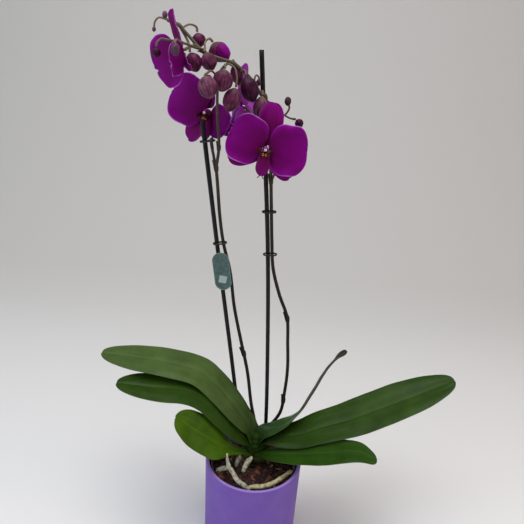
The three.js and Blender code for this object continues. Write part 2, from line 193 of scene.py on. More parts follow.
pick_only()
bpy.ops.mesh.primitive_cylinder_add(vertices=NURSERY_SIDES, radius=NURSERY_FOOT_RADIUS,
                                    depth=NURSERY_TOP - NURSERY_FOOT,
                                    location=(0, 0, (NURSERY_TOP + NURSERY_FOOT) / 2))
nursery = bpy.context.object
settle(nursery)
bpy.ops.object.mode_set(mode="EDIT")
pick_faces(nursery, lambda face: face.normal.z > 0.9)
widen = NURSERY_RIM_RADIUS / NURSERY_FOOT_RADIUS
bpy.ops.transform.resize(value=(widen, widen, 1))
bpy.ops.mesh.inset(thickness=NURSERY_WALL)
bpy.ops.mesh.extrude_region_move(TRANSFORM_OT_translate={
    "value": (0, 0, NURSERY_FOOT + NURSERY_WALL - NURSERY_TOP)})
narrow = (NURSERY_FOOT_RADIUS - NURSERY_WALL) / (NURSERY_RIM_RADIUS - NURSERY_WALL)
bpy.ops.transform.resize(value=(narrow, narrow, 1))


def on_a_rib(face):
    """Every sixth strip of the inner wall is pressed in as a rib."""
    middle = face.calc_center_median()
    turn = math.degrees(math.atan2(middle.y, middle.x)) / (360 / NURSERY_SIDES)
    inwards = face.normal.x * middle.x + face.normal.y * middle.y < 0
    return inwards and abs(face.normal.z) < 0.5 and round(turn - 0.5) % RIB_EVERY == 0


pick_faces(nursery, on_a_rib)
bpy.ops.mesh.inset(thickness=0.5 * MM, use_individual=True)
bpy.ops.mesh.extrude_region_shrink_fatten(TRANSFORM_OT_shrink_fatten={"value": 0.8 * MM})
pick_edges(nursery, lambda a, b: min(a.z, b.z) > NURSERY_TOP - 0.1 * MM)
bpy.ops.mesh.bevel(offset=0.5 * MM, segments=2, affect="EDGES")
bpy.ops.object.mode_set(mode="OBJECT")
bpy.ops.object.shade_smooth_by_angle(angle=math.radians(35))

# Clear polypropylene: see-through but milky, with a soft gloss and water marks
clear, tree, shader = finish_of("clear_polypropylene", 0.28, {
    "Transmission Weight": 0.75, "IOR": 1.49, "Alpha": 0.55})
place = node(tree, "ShaderNodeTexCoord").outputs["Object"]
marks = node(tree, "ShaderNodeTexNoise", {"Vector": place, "Scale": 120.0, "Detail": 6.0})
milk = node(tree, "ShaderNodeValToRGB", {"Fac": marks.outputs["Fac"]},
            stops=[(0.4, 0xCFCFC4), (0.7, 0xA9A596)])
tree.links.new(milk.outputs["Color"], shader["Base Color"])
hand_over(nursery, "nursery_pot_body", "nursery_pot", clear, "nursery_pot")

# ---------------------------------------------------------------------------------------------------------
# Bark mix: composted pine bark, chopped to chips of 4 to 13 mm and heaped loose, over a dark fill of its
# own crumbs, with a few pale wood splinters among them.
BARK_FOOT = 8.5 * MM
BARK_FOOT_RADIUS = 43 * MM
BARK_EDGE = 112 * MM
BARK_TOP = 119 * MM
BARK_RADIUS = 54.5 * MM

pick_only()
bpy.ops.mesh.primitive_cylinder_add(vertices=72, radius=BARK_FOOT_RADIUS, depth=BARK_EDGE - BARK_FOOT,
                                    location=(0, 0, (BARK_EDGE + BARK_FOOT) / 2))
fill = bpy.context.object
settle(fill)
bpy.ops.object.mode_set(mode="EDIT")
pick_faces(fill, lambda face: face.normal.z > 0.9)
widen = BARK_RADIUS / BARK_FOOT_RADIUS
bpy.ops.transform.resize(value=(widen, widen, 1))
for ring in range(9):
    bpy.ops.mesh.inset(thickness=5.5 * MM)
bpy.ops.object.mode_set(mode="OBJECT")
for vertex in fill.data.vertices:
    away = math.hypot(vertex.co.x, vertex.co.y) / BARK_RADIUS
    if vertex.co.z > BARK_EDGE - 1 * MM and away < 0.95:
        dome = (BARK_TOP - BARK_EDGE) * (1 - away * away)
        vertex.co.z += dome + 2.2 * MM * noise.noise(vertex.co * 160)
bpy.ops.object.shade_flat()

# Bark crumbs: near-black brown with reddish grains
crumbs, tree, shader = finish_of("bark_crumbs", 0.95)
place = node(tree, "ShaderNodeTexCoord").outputs["Object"]
grain = node(tree, "ShaderNodeTexNoise", {"Vector": place, "Scale": 420.0, "Detail": 8.0, "Roughness": 0.7})
soil = node(tree, "ShaderNodeValToRGB", {"Fac": grain.outputs["Fac"]},
            stops=[(0.35, 0x140906), (0.6, 0x3A1A12), (0.75, 0x5A3020)])
tree.links.new(soil.outputs["Color"], shader["Base Color"])
bump = node(tree, "ShaderNodeBump", {"Height": grain.outputs["Fac"], "Strength": 0.9, "Distance": 1.5 * MM})
tree.links.new(bump.outputs["Normal"], shader["Normal"])
hand_over(fill, "bark_fill", "bark", crumbs, "bark_mix")

# One chip is a cube cut finer, knocked about and bevelled; three such chips are copied all over
chance = random.Random(7)
chip_kinds = []
for seed in (3, 8, 21):
    pick_only()
    bpy.ops.mesh.primitive_cube_add(size=1)
    chip = bpy.context.object
    bpy.ops.object.mode_set(mode="EDIT")
    bpy.ops.mesh.select_all(action="SELECT")
    bpy.ops.mesh.subdivide(number_cuts=2)
    bpy.ops.transform.vertex_random(offset=0.16, seed=seed)
    bpy.ops.mesh.bevel(offset=0.03, segments=1, affect="EDGES", clamp_overlap=True)
    bpy.ops.object.mode_set(mode="OBJECT")
    chip_kinds.append(chip)

chips = []


def drop_chip(kind, at, size, tone, tilt):
    """Copy a chip to its place with its own turn, size and tone."""
    chip = kind.copy()
    chip.data = kind.data.copy()
    bpy.context.collection.objects.link(chip)
    chip.location = at
    chip.rotation_euler = (chance.uniform(-tilt, tilt), chance.uniform(-tilt, tilt), chance.uniform(0, 6.28))
    chip.scale = size
    shade = chip.data.attributes.new("tone", "FLOAT", "POINT")
    shade.data.foreach_set("value", [tone] * len(chip.data.vertices))
    chips.append(chip)


# They are spread in a sunflower spiral, shaken a little, and every seventeenth is a splinter
CHIPS = 330
SPIRAL_TURN = 2.39996
SPLINTER_EVERY = 17
CLEAR_OF_CROWN = 11 * MM
for index in range(CHIPS):
    away = BARK_RADIUS * 0.97 * math.sqrt((index + 0.5) / CHIPS)
    turn = index * SPIRAL_TURN + chance.uniform(-0.4, 0.4)
    if away < CLEAR_OF_CROWN:
        continue
    dome = BARK_EDGE + (BARK_TOP - BARK_EDGE) * (1 - (away / BARK_RADIUS) ** 2)
    splinter = index % SPLINTER_EVERY == 0
    length = chance.uniform(9, 13) * MM if splinter else (4 + 9 * chance.random() ** 1.7) * MM
    away = min(away, BARK_RADIUS - 0.45 * length)
    kind = chip_kinds[index % len(chip_kinds)]
    at = (away * math.cos(turn), away * math.sin(turn), dome + chance.uniform(-2.6, 1.2) * MM)
    if splinter:
        drop_chip(kind, at, (length, length * 0.14, length * 0.1), 1.0, tilt=0.25)
    else:
        size = (length, length * chance.uniform(0.45, 0.9), length * chance.uniform(0.25, 0.6))
        drop_chip(kind, at, size, 0.75 * chance.random() ** 1.3, tilt=0.7)
for kind in chip_kinds:
    bpy.data.objects.remove(kind)
pick_only(*chips)
bpy.ops.object.transform_apply(location=True, rotation=True, scale=True)
bpy.ops.object.join()
heap = bpy.context.object
bpy.ops.object.mode_set(mode="EDIT")
bpy.ops.mesh.select_all(action="SELECT")
bpy.ops.mesh.normals_make_consistent(inside=False)
bpy.ops.object.mode_set(mode="OBJECT")
bpy.ops.object.shade_flat()

# Pine bark: dull red-brown, each chip its own tone, fine layered grain of about half a millimetre, and tan
# where the chip broke through to wood
bark, tree, shader = finish_of("composted_pine_bark", 0.88)
place = node(tree, "ShaderNodeTexCoord").outputs["Object"]
tone = node(tree, "ShaderNodeAttribute", attribute_name="tone").outputs["Fac"]
brown = node(tree, "ShaderNodeValToRGB", {"Fac": tone},
             stops=[(0.0, 0x24100C), (1.0, 0xB49C78), (0.3, 0x4C241A), (0.7, 0x824C3A)])
grain = node(tree, "ShaderNodeTexNoise", {"Vector": place, "Scale": 700.0, "Detail": 6.0, "Roughness": 0.65})
worn = node(tree, "ShaderNodeValToRGB", {"Fac": grain.outputs["Fac"]},
            stops=[(0.35, 0x6A6058), (0.65, 0xFFFFFF)])
mixed = node(tree, "ShaderNodeMixRGB", {
    "Fac": 0.75, "Color1": brown.outputs["Color"], "Color2": worn.outputs["Color"]}, blend_type="MULTIPLY")
tree.links.new(mixed.outputs["Color"], shader["Base Color"])
bump = node(tree, "ShaderNodeBump", {"Height": grain.outputs["Fac"], "Strength": 0.8, "Distance": 0.6 * MM})
tree.links.new(bump.outputs["Normal"], shader["Normal"])
hand_over(heap, "bark_chips", "bark", bark)

# ---------------------------------------------------------------------------------------------------------
# Crown: the plant's own short stem, a thumb's thickness, green where the fleshy leaf bases clasp it in two
# ranks, ringed below with the scars of leaves it has shed, and brown towards the bottom.
CROWN = [[0, -2, 102], [0, -1, 130], [1, 1, 155], [2, 3, 167]]
CROWN_RADII = [9.0, 9.2, 9.0, 7.6, 5.5]
SCAR_WAVE = 70


def course(points):
    """A smooth line through points in millimetres; gives the place and heading at a share of its length."""
    knots = [Vector(point) * MM for point in points]
    knots = [2 * knots[0] - knots[1], *knots, 2 * knots[-1] - knots[-2]]
    line = []
    for a, b, c, d in zip(knots, knots[1:], knots[2:], knots[3:]):
        ab, bc, cd = (math.sqrt((p - q).length) for p, q in ((a, b), (b, c), (c, d)))
        leave = ((b - a) / ab - (c - a) / (ab + bc) + (c - b) / bc) * bc
        arrive = ((c - b) / bc - (d - b) / (bc + cd) + (d - c) / cd) * bc
        for step in range(24):
            t = step / 24
            line.append((2 * t**3 - 3 * t**2 + 1) * b + (t**3 - 2 * t**2 + t) * leave
                        + (3 * t**2 - 2 * t**3) * c + (t**3 - t**2) * arrive)
    line.append(knots[-2])
    lengths = [0.0, *accumulate((q - p).length for p, q in zip(line, line[1:]))]

    def at(share):
        reach = min(max(share, 0.0), 1.0) * lengths[-1]
        index = min(bisect_right(lengths, reach), len(line) - 1)
        before, after = line[index - 1], line[index]
        part = (reach - lengths[index - 1]) / (lengths[index] - lengths[index - 1])
        ends = max(index - 2, 0), min(index + 1, len(line) - 1)
        return before.lerp(after, part), (line[ends[1]] - line[ends[0]]).normalized()

    at.length = lengths[-1]
    return at


def rod(points, radii, step, bevel=4, swell=None, easing=0.8):
    """A round rod along a smooth line, tapering through its radii in millimetres, with closed, eased ends."""
    at = course(points)
    count = max(6, round(at.length / (step * MM)))
    first, last = (easing * radius * MM / at.length for radius in (radii[0], radii[-1]))
    shares = [0, 0.3 * first, first, 1 - last, 1 - 0.3 * last, 1]
    shares[3:3] = [index / count for index in range(1, count) if 1.3 * first < index / count < 1 - 1.3 * last]
    pick_only()
    bpy.ops.curve.primitive_nurbs_path_add()
    path = bpy.context.object
    curve = path.data
    curve.splines.clear()
    spline = curve.splines.new("POLY")
    spline.points.add(len(shares) - 1)
    for point, share in zip(spline.points, shares):
        where = share * (len(radii) - 1)
        low = min(int(where), len(radii) - 2)
        point.co = (*at(share)[0], 1)
        radius = radii[low] + (radii[low + 1] - radii[low]) * (where - low)
        point.radius = radius * (swell(share) if swell else 1)
    for index, shrink in ((0, 0.5), (1, 0.82), (-2, 0.82), (-1, 0.5)):
        spline.points[index].radius *= shrink
    curve.bevel_depth = MM
    curve.bevel_resolution = bevel
    curve.use_fill_caps = True
    curve.dimensions = "3D"
    curve.twist_mode = "MINIMUM"
    bpy.ops.object.convert(target="MESH")
    bpy.ops.object.shade_smooth()
    return bpy.context.object


def welded(*pieces):
    """Join pieces into one and point every face outwards."""
    pick_only(*pieces)
    if len(pieces) > 1:
        bpy.ops.object.join()
    bpy.ops.object.mode_set(mode="EDIT")
    bpy.ops.mesh.select_all(action="SELECT")
    bpy.ops.mesh.normals_make_consistent(inside=False)
    bpy.ops.object.mode_set(mode="OBJECT")
    return bpy.context.object


# Each leaf's fleshy base leaves the crown as a short taper that runs out under its own leaf
SHEATHS = [
    ([[1, 2, 146], [-3, 3.5, 159], [-10, 5, 172]], [8, 6.5, 4]),
    ([[0, -1, 136], [-7, -4.5, 149], [-15, -6.5, 160]], [8, 6.5, 4]),
    ([[0, -3, 130], [-8, -9, 139], [-16, -15, 144]], [7, 5.5, 3.5]),
    ([[1, 2, 146], [6, 3, 158], [13, 4, 164]], [8, 6.5, 4]),
    ([[0, 0, 138], [9, 2, 148], [22, 2.5, 155]], [8.5, 7, 4]),
    ([[0, -4, 129], [9, -11, 138], [22, -15, 144]], [8, 6.5, 4]),
]
ringed = rod(CROWN, CROWN_RADII, step=0.8, bevel=8, swell=lambda share: 1 + 0.06 * math.sin(SCAR_WAVE * share))
crown = welded(ringed, *(rod(path, radii, step=1.2, bevel=6) for path, radii in SHEATHS))

# Living stem: dark green, going to brown towards the base
stem_skin, tree, shader = finish_of("ringed_plant_crown", 0.6, {"Specular IOR Level": 0.1})
place = node(tree, "ShaderNodeTexCoord").outputs["Object"]
height = node(tree, "ShaderNodeSeparateXYZ", {"Vector": place}).outputs["Z"]
up = node(tree, "ShaderNodeMapRange", {"Value": height, "From Min": 118 * MM, "From Max": 150 * MM})
patches = node(tree, "ShaderNodeTexNoise", {"Vector": place, "Scale": 240.0, "Detail": 5.0})
mottle = node(tree, "ShaderNodeMath", {0: up.outputs["Result"], 1: patches.outputs["Fac"], 2: 0.05},
              operation="MULTIPLY_ADD")
green = node(tree, "ShaderNodeValToRGB", {"Fac": mottle.outputs["Value"]},
             stops=[(0.05, 0x2E2416), (0.6, 0x1C3406), (0.3, 0x2A320E)])
tree.links.new(green.outputs["Color"], shader["Base Color"])
bump = node(tree, "ShaderNodeBump", {"Height": patches.outputs["Fac"], "Strength": 0.4, "Distance": 0.5 * MM})
tree.links.new(bump.outputs["Normal"], shader["Normal"])
hand_over(crown, "crown_stem", "crown", stem_skin, "crown")

# ---------------------------------------------------------------------------------------------------------
# Leaves: six thick, leathery straps in two ranks. Each grows from a folded base, has a sunk midrib with a
# keel below, thins to a fine pale margin, and bends under its own weight.
LEAF_THICKNESS = 2.2 * MM
LEAVES = {
    "leaf_upper_left": dict(
        path=[[0, 2, 156], [-7, 4, 173], [-22, 6, 195], [-42, 9, 220], [-61, 12, 240], [-78, 14, 252],
              [-118, 18, 259], [-163, 22, 261], [-209, 26, 262]],
        face=(0, -0.22, 1), width=52, base=0.45, fullness=2.0, channel=-0.06, finish="dusty"),
    "leaf_middle_left": dict(
        path=[[-1, -2, 145], [-10, -6, 159], [-24, -8, 176], [-45, -9, 202], [-66, -9, 225], [-91, -9, 236],
              [-133, -9, 237], [-181, -9, 240]],
        face=(0, -0.24, 1), width=50, base=0.27, fullness=1.8, channel=0.06, finish="deep"),
    "leaf_lower_left": dict(
        path=[[-2, -5, 138], [-14, -13, 148], [-27, -21, 156], [-42, -29, 168], [-62, -38, 189],
              [-83, -45, 210], [-98, -51, 225]],
        face=(-0.15, -0.52, 0.84), width=45, base=0.5, fullness=1.8, neck=0.3, channel=0.02, finish="yellowed"),
    "leaf_young": dict(
        path=[[1, 2, 156], [10, 3, 168], [22, 5, 173], [41, 12, 180], [60, 24, 191], [75, 36, 213],
              [97, 52, 249], [119, 63, 267]],
        face=(-0.85, 0.36, 0.37), width=30, base=0.62, fullness=1.8, channel=0.1, finish="young"),
    "leaf_long_right": dict(
        path=[[1, 1, 147], [12, 3, 157], [59, 1, 170], [86, 3, 182], [122, 6, 195], [158, 10, 211],
              [194, 14, 228], [229, 18, 244], [257, 20, 258]],
        face=(0, -0.28, 1), width=58, base=0.27, fullness=1.8, channel=0.03, finish="deep"),
    "leaf_lower_right": dict(
        path=[[1, -6, 138], [13, -13, 146], [50, -21, 156], [85, -29, 168], [116, -36, 179],
              [136, -40, 182], [155, -43, 173]],
        face=(0, -0.06, 1), width=44, base=0.27, fullness=1.8, channel=-0.02, finish="fresh"),
}


def rounded(v, widest, base, tip, power):
    """Share of the full width from base to tip: narrow, widest at one point, then round."""
    r = (widest - v) / widest if v < widest else (v - widest) / (1 - widest)
    end = base if v < widest else tip
    return end + (1 - end) * max(0.0, 1 - min(r, 1.0) ** power) ** (1 / power)


def blade(path, face, width, outline, form, turn=None, *, across, along):
    """A grid bent along a smooth line, finer at its edges and ends; form gives how far a point stands up from
    it, in metres, and turn how far the blade is twisted, in degrees."""
    pick_only()
    bpy.ops.mesh.primitive_grid_add(x_subdivisions=across, y_subdivisions=along, size=1)
    piece = bpy.context.object
    at = course(path)
    for vertex in piece.data.vertices:
        u = math.sin(math.pi * vertex.co.x) * 0.35 + 2 * vertex.co.x * 0.65
        v = 0.5 - 0.5 * math.cos(math.pi * (vertex.co.y + 0.5))
        half = 0.5 * width * MM * outline(v)
        middle, heading = at(v)
        side = heading.cross(Vector(face)).normalized()
        if turn:
            side = Matrix.Rotation(math.radians(turn(v)), 3, heading) @ side
        stand = side.cross(heading)
        vertex.co = middle + half * u * side + form(u, v, half) * stand
    return piece


def thicken(piece, thickness, edge, rim_finish=None, under_finish=None):
    """Give a blade its thickness, less at the margin, and round it off."""
    body = piece.vertex_groups.new(name="body")
    uv = piece.data.uv_layers[0].data
    for loop in piece.data.loops:
        u, v = uv[loop.index].uv
        inside = min(1 - abs(2 * u - 1), 2.5 * min(v, 1 - v)) / 0.45
        body.add([loop.vertex_index], min(1.0, max(0.0, inside)) ** 0.5, "REPLACE")
    pick_only(piece)
    bpy.ops.object.modifier_add(type="SOLIDIFY")
    solid = piece.modifiers[-1]
    solid.thickness = thickness
    solid.offset = 0
    solid.vertex_group = "body"
    solid.thickness_vertex_group = edge
    solid.material_offset = under_finish or 0
    solid.material_offset_rim = rim_finish or 0
    bpy.ops.object.modifier_apply(modifier=solid.name)
    bpy.ops.object.modifier_add(type="SUBSURF")
    smooth = piece.modifiers[-1]
    smooth.levels = smooth.render_levels = 1
    bpy.ops.object.modifier_apply(modifier=smooth.name)
    piece.vertex_groups.clear()
    bpy.ops.object.shade_smooth()


def leaf_form(channel, seed):
    """How a leaf stands: its channel or arch, folded at the base, the sunk midrib, a slow wave and a livelier
    margin."""
    def form(u, v, half):
        fold = 0.55 * max(0.0, 1 - v / 0.16) ** 1.5
        midrib = -1.5 * MM * math.exp(-((u / 0.07) ** 2)) * (1 - v) ** 0.4
        wave = 1.1 * MM * noise.noise(Vector((2.2 * u, 5 * v, seed)))
        margin = 1.3 * MM * abs(u) ** 3 * noise.noise(Vector((seed, 9 * v, math.copysign(3, u))))
        return (channel + fold) * half * u * u + midrib + wave + margin
    return form


def across_and_along(tree):
    """The blade's own measures: 0 at the midrib to 1 at the margin, and 0 at the base to 1 at the tip."""
    uv = node(tree, "ShaderNodeUVMap", uv_map="UVMap").outputs["UV"]
    parts = node(tree, "ShaderNodeSeparateXYZ", {"Vector": uv})
    centred = node(tree, "ShaderNodeMath", {0: parts.outputs["X"], 1: 2.0, 2: -1.0}, operation="MULTIPLY_ADD")
    off = node(tree, "ShaderNodeMath", {0: centred.outputs["Value"]}, operation="ABSOLUTE")
    return uv, off.outputs["Value"], parts.outputs["Y"]


def leaf_finish(name, dark, light, rib, bloom, gloss):
    """A leaf's skin: waxy green, cloudy along its length, with close parallel veins about a millimetre apart in
    a greyer bloom, paler along the midrib and the margin, and painted darker towards its base as shade."""
    material, tree, shader = finish_of(name, gloss, {
        "Specular IOR Level": 0.1, "Coat Weight": 0.02, "Coat Roughness": 0.25})
    place = node(tree, "ShaderNodeTexCoord").outputs["Object"]
    uv, off, along = across_and_along(tree)
    cloud = node(tree, "ShaderNodeTexNoise", {"Vector": place, "Scale": 34.0, "Detail": 5.0, "Roughness": 0.6})
    green = node(tree, "ShaderNodeValToRGB", {"Fac": cloud.outputs["Fac"]},
                 stops=[(0.32, dark), (0.68, light)])
    stretch = node(tree, "ShaderNodeMapping", {"Vector": uv, "Scale": (46.0, 1.6, 1.0)})
    veins = node(tree, "ShaderNodeTexNoise", {"Vector": stretch.outputs["Vector"], "Scale": 1.0, "Detail": 2.0})
    streak = node(tree, "ShaderNodeMapRange", {
        "Value": veins.outputs["Fac"], "From Min": 0.4, "From Max": 0.75, "To Max": 0.3})
    lined = node(tree, "ShaderNodeMixRGB", {
        "Fac": streak.outputs["Result"], "Color1": green.outputs["Color"], "Color2": linear(bloom)})
    midrib = node(tree, "ShaderNodeMapRange", {"Value": off, "From Min": 0.04, "From Max": 0.0, "To Max": 0.3},
                  interpolation_type="SMOOTHSTEP")
    ribbed = node(tree, "ShaderNodeMixRGB", {
        "Fac": midrib.outputs["Result"], "Color1": lined.outputs["Color"], "Color2": linear(rib)})
    margin = node(tree, "ShaderNodeMapRange", {
        "Value": off, "From Min": 0.962, "From Max": 1.0, "To Max": 0.35})
    edged = node(tree, "ShaderNodeMixRGB", {
        "Fac": margin.outputs["Result"], "Color1": ribbed.outputs["Color"], "Color2": linear(rib)})
    # Painted shade: the leaf's colour is multiplied darker towards its base, where it sits deep among the other
    # leaves
    depth = node(tree, "ShaderNodeMapRange", {
        "Value": along, "From Min": 0.04, "From Max": 0.46, "To Min": 0.9, "To Max": 0.0},
        interpolation_type="SMOOTHSTEP")
    shaded = node(tree, "ShaderNodeMixRGB", {
        "Fac": depth.outputs["Result"], "Color1": edged.outputs["Color"], "Color2": linear(0x5E7038)},
        blend_type="MULTIPLY")
    tree.links.new(shaded.outputs["Color"], shader["Base Color"])
    cells = node(tree, "ShaderNodeTexNoise", {"Vector": place, "Scale": 1100.0, "Detail": 2.0})
    relief = node(tree, "ShaderNodeMath", {0: veins.outputs["Fac"], 1: 2.0, 2: cells.outputs["Fac"]},
                  operation="MULTIPLY_ADD")
    bump = node(tree, "ShaderNodeBump", {
        "Height": relief.outputs["Value"], "Strength": 0.22, "Distance": 0.5 * MM})
    tree.links.new(bump.outputs["Normal"], shader["Normal"])
    return material


LEAF_FINISHES = {
    "dusty": leaf_finish("waxy_leaf_dusty", 0x3A4E22, 0x4C6230, 0x6E8650, 0x56703E, 0.4),
    "deep": leaf_finish("waxy_leaf_deep", 0x22380E, 0x304A14, 0x52702E, 0x3C5A20, 0.34),
    "yellowed": leaf_finish("waxy_leaf_yellowed", 0x2E4A05, 0x446608, 0x6E8822, 0x527014, 0.36),
    "young": leaf_finish("waxy_leaf_young", 0x244216, 0x365824, 0x5E7A4C, 0x4E6A4C, 0.32),
    "fresh": leaf_finish("waxy_leaf_fresh", 0x1C3806, 0x2C4C0C, 0x587630, 0x3C601C, 0.34),
    "young_under": leaf_finish("waxy_leaf_young_underside", 0x24281A, 0x323626, 0x8A8C7C, 0x44483A, 0.5),
    "under": leaf_finish("waxy_leaf_underside", 0x2A4016, 0x384F22, 0x5C7640, 0x425C30, 0.5),
}


LEAF_WIDEST = 0.6
NECK_START = 0.12
NECK_WIDTH = 0.36


def leaf_outline(v, base, fullness, neck):
    """Share of the full width: a clasping base, a neck on some, widest past the middle, and a round end."""
    share = rounded(max(v, 0.0), LEAF_WIDEST, base, 0.05, fullness if v < LEAF_WIDEST else 2.2)
    if not neck:
        return share
    waist = min(1.0, max(0.0, (v - NECK_START) / neck))
    return share * (NECK_WIDTH + (1 - NECK_WIDTH) * waist**2 * (3 - 2 * waist))


def young_twist(v):
    """The young leaf opens at its base, stands edge-on further up and rolls back at its very tip."""
    return 80 * max(0.0, 1 - v / 0.42) + 40 * max(0.0, (v - 0.88) / 0.12)


YOUNG_TURN = 0.44
for seed, (name, leaf) in enumerate(LEAVES.items()):
    path, young = leaf["path"], name == "leaf_young"
    foot = (Vector(path[1]) - Vector(path[0])).length * MM / course(path).length
    piece = blade(path, leaf["face"], leaf["width"],
                  lambda v: leaf_outline((v - foot) / (1 - foot), leaf["base"], leaf["fullness"],
                                         leaf.get("neck")),
                  leaf_form(leaf["channel"], 3.7 * seed), young_twist if young else None, across=20, along=52)
    piece.data.materials.append(LEAF_FINISHES[leaf["finish"]])
    piece.data.materials.append(LEAF_FINISHES["young_under" if young else "under"])
    if young:
        # Past its turn the young leaf shows its underside, so the outer face takes that finish too
        uv = piece.data.uv_layers[0].data
        for face in piece.data.polygons:
            face.material_index = 1 if uv[face.loop_start].uv.y > YOUNG_TURN else 0
    thicken(piece, LEAF_THICKNESS, 0.35, rim_finish=0, under_finish=1)
    hand_over(piece, name + "_strap", "leaf", None, name)

# ---------------------------------------------------------------------------------------------------------
# Air roots: about 6 mm thick, wrapped in dry, spongy silver-grey or tan skin that wrinkles as it dries. They
# lie over the bark near the crown, and their ends run down into it.
ROOTS = {
    "root_long": ([[-34, -42, 168], [-33, -43.5, 158], [-30, -45, 149], [-26, -46, 143], [-19, -50, 134],
                   [-9, -52, 127], [-3, -51, 119]], [1.2, 2.0, 2.6, 2.9, 3.0, 2.9, 2.6], "grey"),
    "root_side": ([[-32, -30, 134], [-38, -27, 130.5], [-43, -26, 127.5], [-48, -24, 121]],
                  [2.8, 3.2, 3.1, 2.6], "grey"),
    "root_stub_left": ([[-9, -5, 140], [-14, -8, 137], [-19, -9, 132], [-23, -12, 121]],
                       [3.2, 3.2, 2.9, 2.4], "grey"),
    "root_stub_front": ([[-2, -10, 137], [-5, -14, 136], [-9, -18, 131], [-13, -22, 121]],
                        [3.2, 3.7, 3.3, 2.6], "grey"),
    "root_right": ([[-7, -49, 119], [-1, -50, 124], [14, -48.5, 125], [28, -42, 126], [40, -32, 127],
                    [50, -22, 127], [53, -14, 119]], [2.4, 2.8, 3.0, 2.9, 2.7, 2.5, 2.2], "tan"),
}


def root_finish(name, dark, light, pale):
    """Dry root skin: matt and chalky, mottled at a few millimetres and wrinkled across the root."""
    material, tree, shader = finish_of(name, 0.85)
    place = node(tree, "ShaderNodeTexCoord").outputs["Object"]
    mottle = node(tree, "ShaderNodeTexNoise", {
        "Vector": place, "Scale": 260.0, "Detail": 6.0, "Roughness": 0.7})
    skin = node(tree, "ShaderNodeValToRGB", {"Fac": mottle.outputs["Fac"]},
                stops=[(0.36, dark), (0.7, pale), (0.5, light)])
    tree.links.new(skin.outputs["Color"], shader["Base Color"])
    wrinkle = node(tree, "ShaderNodeTexNoise", {"Vector": place, "Scale": 620.0, "Detail": 4.0})
    bump = node(tree, "ShaderNodeBump", {
        "Height": wrinkle.outputs["Fac"], "Strength": 0.7, "Distance": 0.6 * MM})
    tree.links.new(bump.outputs["Normal"], shader["Normal"])
    return material


ROOT_FINISHES = {
    "grey": root_finish("dry_root_skin_grey", 0x6A6850, 0xA8A690, 0xD2D1C2),
    "tan": root_finish("dry_root_skin_tan", 0x706A46, 0xAAA47C, 0xCAC4A4),
}
# Without a seed, the offsets that noise_vector adds come from the clock and change with each run
noise.seed_set(7)
for seed, (name, (path, radii, finish)) in enumerate(ROOTS.items()):
    piece = rod(path, radii, step=0.7, bevel=6,
                swell=lambda share: 1 + 0.2 * noise.noise(Vector((14 * share, seed, 0))))
    for vertex in piece.data.vertices:
        vertex.co += 0.5 * MM * noise.noise_vector(vertex.co * 380)
    hand_over(piece, name + "_skin", "root", ROOT_FINISHES[finish], name)

# ---------------------------------------------------------------------------------------------------------
# Stakes: extruded black plastic rods of about 5 mm, cut square with a slightly eased end, pushed down into the
# bark and bowed a little by the stems tied to them.
STAKE_RADIUS = 2.6
STAKES = {
    "stake_left": [[-11, 37, 50], [-28, 35, 190], [-61, 15, 429], [-80, 4, 571]],
    "stake_right": [[16, 30, 40], [14, 27, 170], [8, 22, 299], [0, 18, 423], [-11, 14, 542], [-21, 12, 645]],
}

# Black polystyrene: near black with a low sheen, drawn lines along it and a little dust
stake_plastic, tree, shader = finish_of("extruded_black_plastic", 0.42, {"Specular IOR Level": 0.25})
place = node(tree, "ShaderNodeTexCoord").outputs["Object"]
drawn = node(tree, "ShaderNodeMapping", {"Vector": place, "Scale": (1.0, 1.0, 0.03)})
lines = node(tree, "ShaderNodeTexNoise", {"Vector": drawn.outputs["Vector"], "Scale": 900.0, "Detail": 3.0})
dust = node(tree, "ShaderNodeValToRGB", {"Fac": lines.outputs["Fac"]},
            stops=[(0.4, 0x050506), (0.75, 0x131315)])
tree.links.new(dust.outputs["Color"], shader["Base Color"])
bump = node(tree, "ShaderNodeBump", {"Height": lines.outputs["Fac"], "Strength": 0.15, "Distance": 0.3 * MM})
tree.links.new(bump.outputs["Normal"], shader["Normal"])
for name, path in STAKES.items():
    piece = rod(path, [STAKE_RADIUS, STAKE_RADIUS], step=8, bevel=6, easing=0.14)
    hand_over(piece, name + "_rod", "stake", stake_plastic, name)

# ---------------------------------------------------------------------------------------------------------
# Flower stems: each grown as one, woody brown-black below and grey-green above, with a swollen joint and
# a papery bract every hand's breadth. Short stalks carry the flowers and buds, and the tips end in knobs.
STEM_RADIUS = 2.3
FLOWERS = {
    "flower_right": dict(
        at=[-10, -19, 549], facing=[0, -1, 0.05], roll=-7, lip=1.0,
        sepals=[[90, 0, 1], [206, 0, 1], [320, 0, 1]], petals=[[163, 6, 1], [6, 6, 1.06]]),
    "flower_left": dict(
        at=[-74.5, 23, 578.5], facing=[-0.5, -0.86, 0], roll=0, lip=1.05,
        sepals=[[102, -3, 0.82], [227, 2, 1.1], [328, 0, 0.9]], petals=[[153, 18, 1.15], [-30, 4, 0.75]]),
    "flower_behind": dict(
        at=[-35, 29, 584], facing=[-0.9, 0.38, -0.1], roll=0, lip=0.9,
        sepals=[[90, 0, 1], [216, 0, 0.9], [322, 0, 0.9]], petals=[[172, 8, 0.9], [8, 0, 0.76]]),
    "flower_top": dict(
        at=[-97, -24, 639], facing=[-0.8, -0.46, -0.34], roll=0, lip=0.5,
        sepals=[[96, -2, 0.8], [212, 0, 0.9], [298, 8, 0.5]],
        petals=[[200, 34, 1.04, 6.8], [-22, 76, 0.7, 9.4]]),
}
